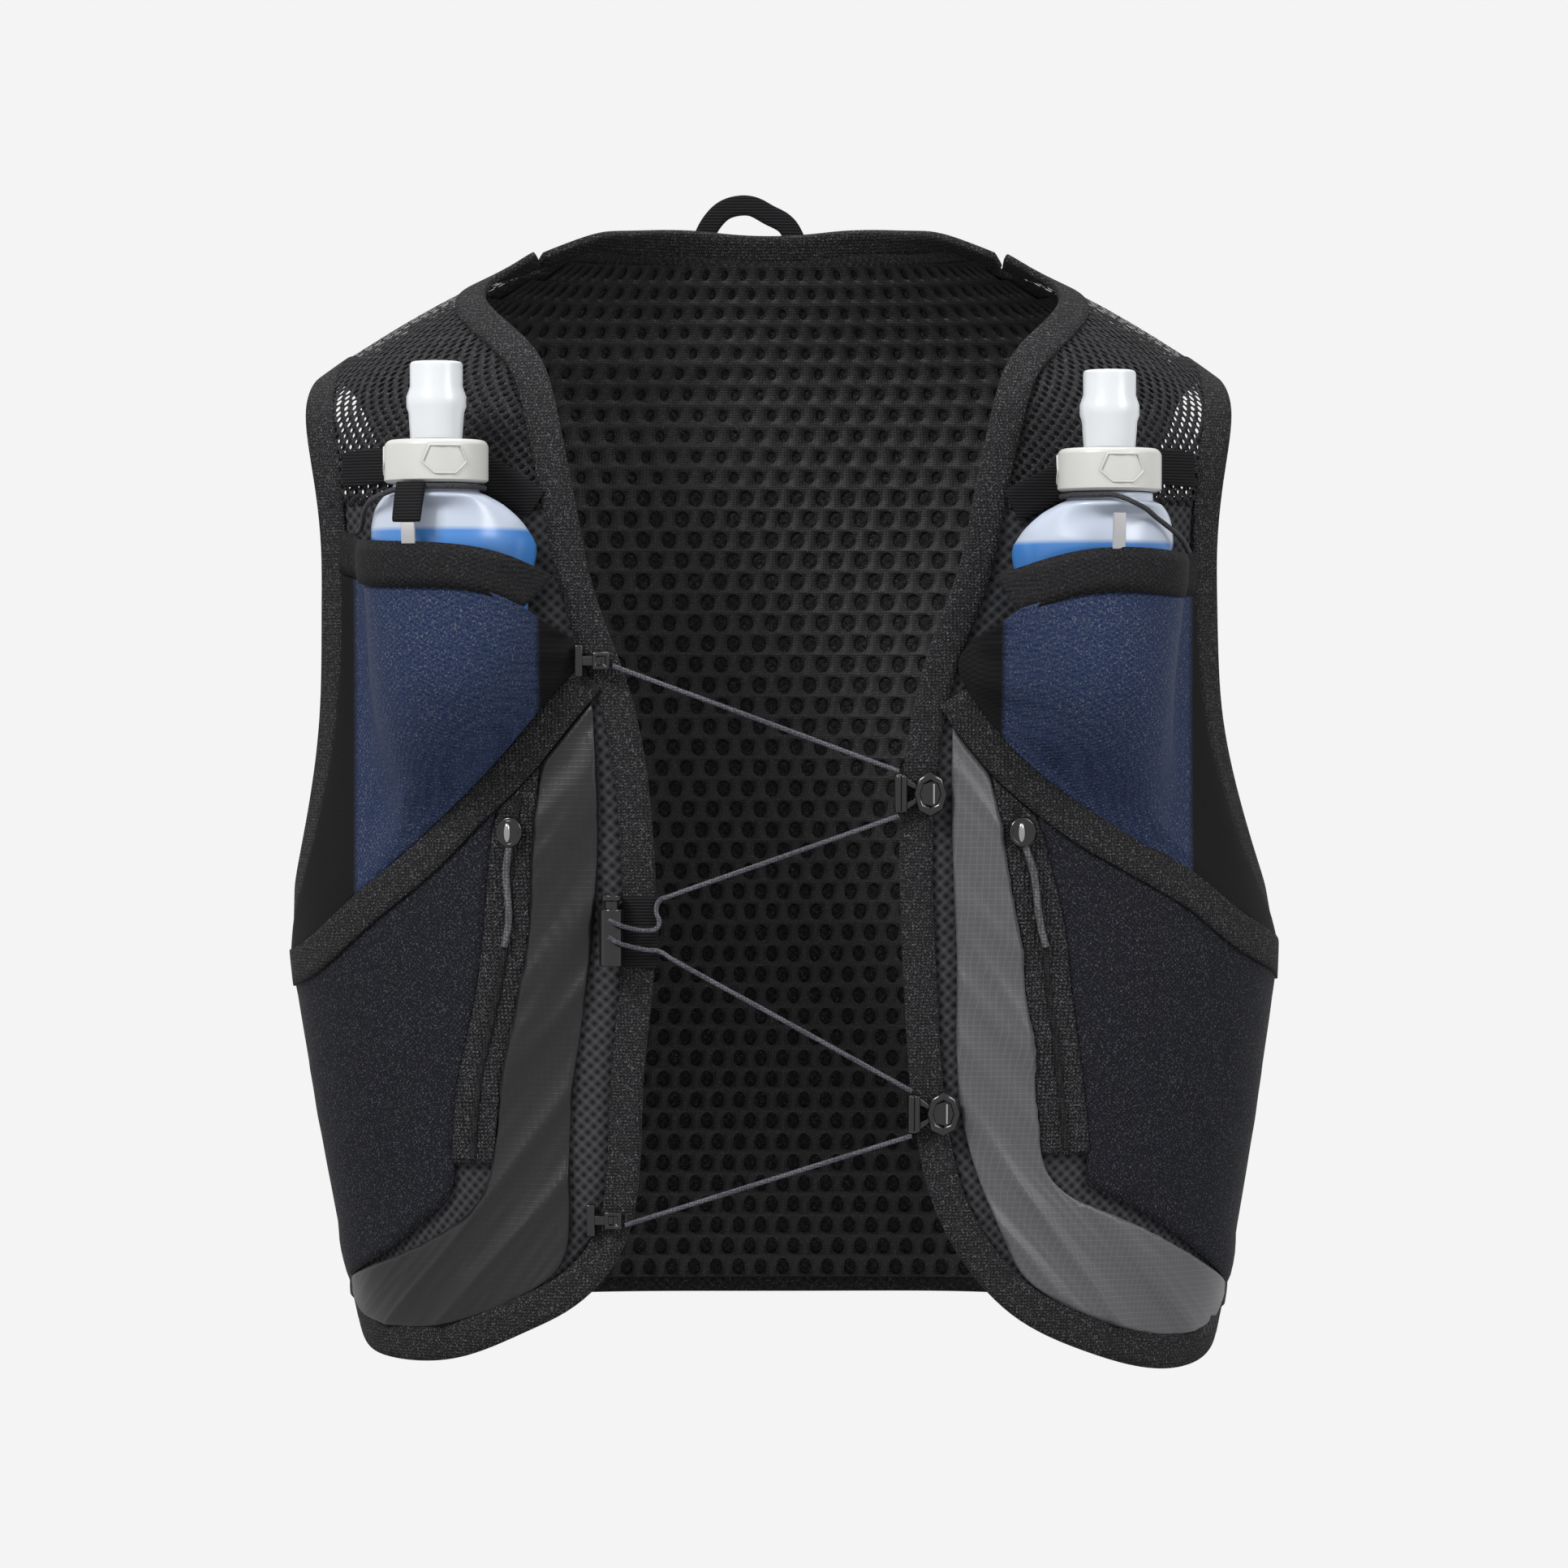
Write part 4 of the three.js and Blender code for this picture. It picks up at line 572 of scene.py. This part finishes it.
sheet = bmesh.new()
corners = {}
level = 0
height = lowest_row
while height < highest_row:
    low, _ = on_back(0, height)
    high, _ = on_back(0, height + slope_probe)
    slope = (high - low).length / slope_probe if low and high else 1
    step = dimple_down / slope
    shift = 0.5 * (level % 2)
    size = yoke_share if height > yoke_height else 1
    for column in range(-side_columns, side_columns + 1):
        rim = []
        for index in range(rim_points):
            angle = index * 2 * math.pi / rim_points
            across = round(math.cos(angle))
            down = round(math.sin(angle))
            key = (2 * (column + shift) + across, 2 * level + down)
            if key not in corners:
                turn = (column + shift + across / 2) * dimple_across / girth_radius
                spot, normal = on_back(turn, height + down * step / 2)
                corners[key] = None if spot is None else sheet.verts.new(spot - normal * sheet_inset)
            rim.append(corners[key])
        ovals = []
        for index in range(oval_points):
            angle = index * 2 * math.pi / oval_points
            turn = ((column + shift) * dimple_across / girth_radius
                    + math.cos(angle) * oval_width * size / 2 / girth_radius)
            ovals.append(on_back(turn, height + math.sin(angle) * oval_height * size / 2 / slope))
        if any(corner is None for corner in rim) or any(spot is None for spot, _ in ovals):
            continue
        front = [sheet.verts.new(spot - normal * sheet_inset) for spot, normal in ovals]
        deep = [sheet.verts.new(spot - normal * (sheet_inset - wall_depth)) for spot, normal in ovals]
        for index in range(rim_points):
            following = (index + 1) % rim_points
            sheet.faces.new((rim[index], rim[following], front[(2 * index + 2) % oval_points],
                             front[2 * index + 1], front[2 * index]))
        for index in range(oval_points):
            following = (index + 1) % oval_points
            sheet.faces.new((front[index], front[following], deep[following], deep[index]))
    level += 1
    height += step
bmesh.ops.recalc_face_normals(sheet, faces=sheet.faces)
dimple_mesh = bpy.data.meshes.new("back_dimples")
sheet.to_mesh(dimple_mesh)
sheet.free()
for face in dimple_mesh.polygons:
    face.use_smooth = True
wrap_coordinates(dimple_mesh, True)
dimple_cloth = fabric("dimple_cloth", (0.003, 0.003, 0.0034), (0.008, 0.008, 0.0088), pitch=0.0011,
                      pattern="weave", relief=0.00015, roughness=0.6, glints=0.15, gloss=0.3)
dimple_mesh.materials.append(dimple_cloth)
back_dimples = bpy.data.objects.new("back_dimples", dimple_mesh)
bpy.context.collection.objects.link(back_dimples)
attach(back_dimples, "vest")

# Flasks: soft bags of frosted film with blue drink in them up to a level line. Each stands in its
# pocket, whose cloth draws its lower part in.


def drawn_in(piece, mouth):
    """Below the pocket's mouth the bag gives way to the cloth drawn over it."""
    level_step = 0.006
    taper = 0.02
    narrower = 0.17
    flatter = 0.3
    shorter = 0.84
    levels = {}
    for vertex in piece.data.vertices:
        levels.setdefault(round(vertex.co.z / level_step), []).append(vertex.co.copy())
    middles = {level: sum(points, Vector()) / len(points) for level, points in levels.items()}
    for vertex in piece.data.vertices:
        below = mouth - vertex.co.z
        if below > 0:
            middle = middles[round(vertex.co.z / level_step)]
            share = min(1, below / taper)
            vertex.co.x += (middle.x - vertex.co.x) * narrower * share
            vertex.co.y += (middle.y - vertex.co.y) * flatter * share
            vertex.co.z = mouth - below * shorter


pocket_mouth = -0.106
liquid_levels = {"L": -0.0985, "R": -0.104}
level_fade = (0.0015, 0.0005)
drink_colour = (0.05, 0.19, 0.5, 1)
film_colour = (0.42, 0.47, 0.56, 1)
for side, level_height in liquid_levels.items():
    film = bpy.data.materials.new(f"flask_film_{side}")
    film.use_nodes = True
    nodes = film.node_tree.nodes
    links = film.node_tree.links
    shader = nodes["Principled BSDF"]
    place = nodes.new("ShaderNodeTexCoord")
    parts = nodes.new("ShaderNodeSeparateXYZ")
    links.new(place.outputs["Object"], parts.inputs["Vector"])
    level_range = nodes.new("ShaderNodeMapRange")
    level_range.inputs["From Min"].default_value = level_height - level_fade[0]
    level_range.inputs["From Max"].default_value = level_height + level_fade[1]
    links.new(parts.outputs["Z"], level_range.inputs["Value"])
    tone = nodes.new("ShaderNodeValToRGB")
    tone.color_ramp.elements[0].color = drink_colour
    tone.color_ramp.elements[1].color = film_colour
    links.new(level_range.outputs["Result"], tone.inputs["Fac"])
    links.new(tone.outputs["Color"], shader.inputs["Base Color"])
    shader.inputs["Roughness"].default_value = 0.3
    shader.inputs["Transmission Weight"].default_value = 0.25
    drawn_in(soft(f"flask_{side}", film, crease=0.9), pocket_mouth)

# Caps: satin moulded rings with a chamfered top and three raised grips, screwed on the flasks. Each
# carries a soft silicone bite valve that turns with it.


def plain_material(name, colour, roughness, transmission=0.0):
    """A smooth moulded surface."""
    material = bpy.data.materials.new(name)
    material.use_nodes = True
    shader = material.node_tree.nodes["Principled BSDF"]
    shader.inputs["Base Color"].default_value = (*colour, 1)
    shader.inputs["Roughness"].default_value = roughness
    shader.inputs["Transmission Weight"].default_value = transmission
    return material


coplanar_angle = 0.02
corner_angle = math.radians(35)
edge_segments = 3


def moulded(node, material, body, edge):
    """A hard piece from its node, with rounded edges."""
    piece = bpy.data.objects.new(f"{node}_part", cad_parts[node].data.copy())
    bpy.context.collection.objects.link(piece)
    weld = bmesh.new()
    weld.from_mesh(piece.data)
    bmesh.ops.remove_doubles(weld, verts=weld.verts, dist=weld_reach)
    bmesh.ops.dissolve_limit(weld, angle_limit=coplanar_angle, verts=weld.verts, edges=weld.edges)
    weld.to_mesh(piece.data)
    weld.free()
    bpy.ops.object.select_all(action="DESELECT")
    bpy.context.view_layer.objects.active = piece
    piece.select_set(True)
    rounding = piece.modifiers.new("rounding", "BEVEL")
    rounding.width = edge
    rounding.segments = edge_segments
    rounding.limit_method = "ANGLE"
    rounding.angle_limit = corner_angle
    bpy.ops.object.modifier_apply(modifier="rounding")
    for face in piece.data.polygons:
        face.use_smooth = True
    weighted = piece.modifiers.new("weighted", "WEIGHTED_NORMAL")
    weighted.keep_sharp = True
    bpy.ops.object.modifier_apply(modifier="weighted")
    piece.data.materials.clear()
    piece.data.materials.append(material)
    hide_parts(node)
    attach(piece, body)
    return piece


cap_plastic = plain_material("cap_plastic", (0.36, 0.36, 0.345), roughness=0.38)
valve_silicone = plain_material("valve_silicone", (0.62, 0.64, 0.66), roughness=0.3, transmission=0.3)
grip_outline = ((-0.30, 0.84), (0.30, 0.84), (0.44, 0.46), (0.20, 0.20), (-0.20, 0.20), (-0.44, 0.46))
grip_width = 0.0005
grip_heading = -1.35
grip_turns = 3
grip_steps = 6
grip_roundness = 2
for side in ("L", "R"):
    body = f"cap_{side.lower()}"
    cap = moulded(f"flask_cap_{side}", cap_plastic, body, edge=0.0014)
    moulded(f"bite_valve_{side}", valve_silicone, body, edge=0.0006)
    spots = [vertex.co for vertex in cap.data.vertices]
    foot = min(spot.z for spot in spots)
    tall = max(spot.z for spot in spots) - foot
    axis_x = (min(spot.x for spot in spots) + max(spot.x for spot in spots)) / 2
    axis_y = (min(spot.y for spot in spots) + max(spot.y for spot in spots)) / 2
    cap_radius = (max(spot.x for spot in spots) - min(spot.x for spot in spots)) / 2
    ridge = bpy.data.curves.new(f"cap_grip_{side}", "CURVE")
    ridge.dimensions = "3D"
    ridge.bevel_depth = grip_width
    ridge.bevel_resolution = grip_roundness
    for turn in range(grip_turns):
        heading = grip_heading + turn * 2 * math.pi / grip_turns
        loop = ridge.splines.new("POLY")
        loop.points.add(len(grip_outline) * grip_steps - 1)
        loop.use_cyclic_u = True
        for index in range(len(grip_outline) * grip_steps):
            start = grip_outline[index // grip_steps]
            end = grip_outline[(index // grip_steps + 1) % len(grip_outline)]
            share = index % grip_steps / grip_steps
            angle = heading + start[0] + (end[0] - start[0]) * share
            height = foot + tall * (start[1] + (end[1] - start[1]) * share)
            across = axis_x + cap_radius * math.cos(angle)
            ahead = axis_y + cap_radius * math.sin(angle)
            loop.points[index].co = (across, ahead, height, 1)
    ridge.materials.append(cap_plastic)
    made_solid(f"cap_grip_{side}", ridge, body)

# Reflective tabs: short loops of pale film-faced tape, sewn to the mouths of the flask pockets so
# that they stand up in front of the flasks
reflective_film = plain_material("reflective_film", (0.2, 0.2, 0.21), roughness=0.35)
for side in ("L", "R"):
    moulded(f"reflective_tab_{side}", reflective_film, "vest", edge=0.0004)

# Hardware of glossy black moulded plastic: the cord lock with the button that is pressed into it,
# the zip sliders, and the two bows on the front binding that guide the lace
gloss_black = plain_material("gloss_black", (0.004, 0.004, 0.0045), roughness=0.15)
bright_edge = plain_material("bright_edge", (0.3, 0.3, 0.31), roughness=0.2)
bright_edge.node_tree.nodes["Principled BSDF"].inputs["Metallic"].default_value = 0.9
moulded("cord_lock_barrel", gloss_black, "vest", edge=0.0008)
moulded("cord_lock_button", gloss_black, "lock_button", edge=0.0005)
for node in ("lace_hook_2", "lace_hook_3", "zip_slider_L", "zip_slider_R"):
    moulded(node, gloss_black, "vest", edge=0.0009)

# Bows: on each, a double sleeve that the lace runs through, and an eight-sided clip frame with a
# bright slot. Both are moulded in one with the bow.
smooth_angle = math.radians(40)


def seat_of(node):
    """Middle of a small hard part with its right, up and outward directions, as one matrix."""
    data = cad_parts[node].data
    out = max(data.polygons, key=lambda face: face.area).normal.copy()
    if out.y > 0:
        out.negate()
    right = Vector((0, 0, 1)).cross(out).normalized()
    up = out.cross(right)
    middle = Vector()
    for axis in (right, up, out):
        spans = [axis.dot(vertex.co) for vertex in data.vertices]
        middle += axis * (min(spans) + max(spans)) / 2
    seat = Matrix((right, up, out)).transposed().to_4x4()
    seat.translation = middle
    return seat


def finish_part(name, material, rounding=0.0):
    """Rounds the edges of the part just added, puts its place in its mesh and fixes it to the vest."""
    part = bpy.context.view_layer.objects.active
    part.name = name
    bpy.ops.object.transform_apply(location=True, rotation=True, scale=True)
    if rounding:
        edges = part.modifiers.new("edges", "BEVEL")
        edges.width = rounding
        edges.segments = edge_segments
        bpy.ops.object.modifier_apply(modifier="edges")
    bpy.ops.object.shade_smooth_by_angle(angle=smooth_angle)
    part.data.materials.append(material)
    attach(part, "vest")
    return part


sleeve_height = 0.0152
sleeve_radius = 0.0015
sleeve_lift = 0.0016
sleeve_spots = (-0.0086, -0.0062)
quarter = math.radians(90)
frame_spot = (0.0048, 0, 0.0018)
frame_shape = (0.82, 1.12, 1)
slot_spot = (0.0062, 0, 0.0026)
slot_size = (0.0009, 0.0085, 0.0012)
for number in (2, 3):
    seat = seat_of(f"lace_hook_{number}")
    turned = seat.to_euler()
    for index, along in enumerate(sleeve_spots):
        bpy.ops.object.select_all(action="DESELECT")
        bpy.ops.mesh.primitive_cylinder_add(vertices=20, radius=sleeve_radius, depth=sleeve_height,
            location=seat @ Vector((along, 0, sleeve_lift)),
            rotation=(seat.to_3x3() @ Matrix.Rotation(quarter, 3, "X")).to_euler())
        finish_part(f"bow_sleeve_{number}_{index + 1}", gloss_black, rounding=0.0006)
    bpy.ops.object.select_all(action="DESELECT")
    bpy.ops.mesh.primitive_torus_add(major_segments=8, minor_segments=12, major_radius=0.0068,
        minor_radius=0.0018, location=seat @ Vector(frame_spot), rotation=turned)
    bpy.context.view_layer.objects.active.scale = frame_shape
    finish_part(f"clip_frame_{number}", gloss_black)
    bpy.ops.object.select_all(action="DESELECT")
    bpy.ops.mesh.primitive_cube_add(size=1, location=seat @ Vector(slot_spot), rotation=turned)
    bpy.context.view_layer.objects.active.scale = slot_size
    finish_part(f"clip_slot_{number}", bright_edge, rounding=0.0003)

# Hooks of the other front, of the same glossy plastic: an upright bar, a flat band and a small
# buckle with a sunk middle, held on by the front binding
hook_parts = (
    {"name": "bar", "along": -0.0056, "size": (0.0034, 0.0132, 0.0040), "lift": 0.0, "sunk": False},
    {"name": "band", "along": -0.0010, "size": (0.0100, 0.0040, 0.0022), "lift": 0.0004, "sunk": False},
    {"name": "buckle", "along": 0.0038, "size": (0.0072, 0.0072, 0.0042), "lift": 0.0003, "sunk": True},
)
buckle_rim = 0.0016
buckle_sink = 0.0014
top_facing = 0.9
for number in (1, 4):
    seat = seat_of(f"lace_hook_{number}")
    parts = []
    for row in hook_parts:
        bpy.ops.object.select_all(action="DESELECT")
        bpy.ops.mesh.primitive_cube_add(size=1, location=seat @ Vector((row["along"], 0, row["lift"])),
                                        rotation=seat.to_euler())
        part = bpy.context.view_layer.objects.active
        part.scale = row["size"]
        bpy.ops.object.transform_apply(location=False, rotation=False, scale=True)
        if row["sunk"]:
            bpy.ops.object.mode_set(mode="EDIT")
            bpy.ops.mesh.select_all(action="DESELECT")
            bpy.ops.object.mode_set(mode="OBJECT")
            for face in part.data.polygons:
                face.select = face.normal.z > top_facing
            bpy.ops.object.mode_set(mode="EDIT")
            bpy.ops.mesh.select_mode(type="FACE")
            bpy.ops.mesh.inset(thickness=buckle_rim)
            bpy.ops.mesh.extrude_region_shrink_fatten(TRANSFORM_OT_shrink_fatten={"value": -buckle_sink})
            bpy.ops.object.mode_set(mode="OBJECT")
        parts.append(finish_part(f"hook_{row['name']}_{number}", gloss_black, rounding=0.0006))
    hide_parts(f"lace_hook_{number}")

# Zip sliders: a rounded rim of glossy plastic round each, with a bright metal bar over its middle
# that the cord pull hangs from
rim_spot = (0, 0.0002, 0.0012)
rim_shape = (1, 1.12, 1)
bar_spot = (-0.0006, 0, 0.0022)
bar_size = (0.0015, 0.0042, 0.0012)
for side in ("L", "R"):
    seat = seat_of(f"zip_slider_{side}")
    bpy.ops.object.select_all(action="DESELECT")
    bpy.ops.mesh.primitive_torus_add(major_segments=28, minor_segments=10, major_radius=0.0048,
        minor_radius=0.0009, location=seat @ Vector(rim_spot), rotation=seat.to_euler())
    bpy.context.view_layer.objects.active.scale = rim_shape
    finish_part(f"slider_rim_{side}", gloss_black)
    bpy.ops.object.select_all(action="DESELECT")
    bpy.ops.mesh.primitive_uv_sphere_add(segments=16, ring_count=10, radius=1,
        location=seat @ Vector(bar_spot), rotation=seat.to_euler())
    bpy.context.view_layer.objects.active.scale = bar_size
    finish_part(f"slider_bar_{side}", bright_edge)

# Studio: a pale floor that runs into the pale surroundings, with soft light from both sides and
# from above
surround = (0.905, 0.905, 0.905)
floor_material = plain_material("floor_white", (0, 0, 0), roughness=1.0)
floor_shader = floor_material.node_tree.nodes["Principled BSDF"]
floor_shader.inputs["Specular IOR Level"].default_value = 0.0
floor_shader.inputs["Emission Color"].default_value = (*surround, 1)
floor_shader.inputs["Emission Strength"].default_value = 1.0
floor_height = -0.72
stage_width = 12
bpy.ops.mesh.primitive_plane_add(size=stage_width, location=(0, 0, floor_height))
floor = bpy.context.active_object
floor.name = "floor"
floor.data.materials.append(floor_material)
world = bpy.data.worlds.new("studio")
bpy.context.scene.world = world
world.use_nodes = True
world.node_tree.nodes["Background"].inputs["Color"].default_value = (*surround, 1)
lamps = (
    {"name": "key", "place": (-1.5, -1.7, 1.5), "power": 85, "size": 0.8},
    {"name": "fill", "place": (1.9, -1.4, 0.9), "power": 35, "size": 1.0},
    {"name": "top", "place": (0, 0.5, 2.0), "power": 40, "size": 1.2},
)
for lamp in lamps:
    data = bpy.data.lights.new(lamp["name"], "AREA")
    data.energy = lamp["power"]
    data.size = lamp["size"]
    light = bpy.data.objects.new(lamp["name"], data)
    light.location = lamp["place"]
    aim = Vector((0, 0, view_height)) - light.location
    light.rotation_euler = aim.to_track_quat("-Z", "Y").to_euler()
    bpy.context.collection.objects.link(light)
bpy.context.scene.view_settings.view_transform = "Standard"
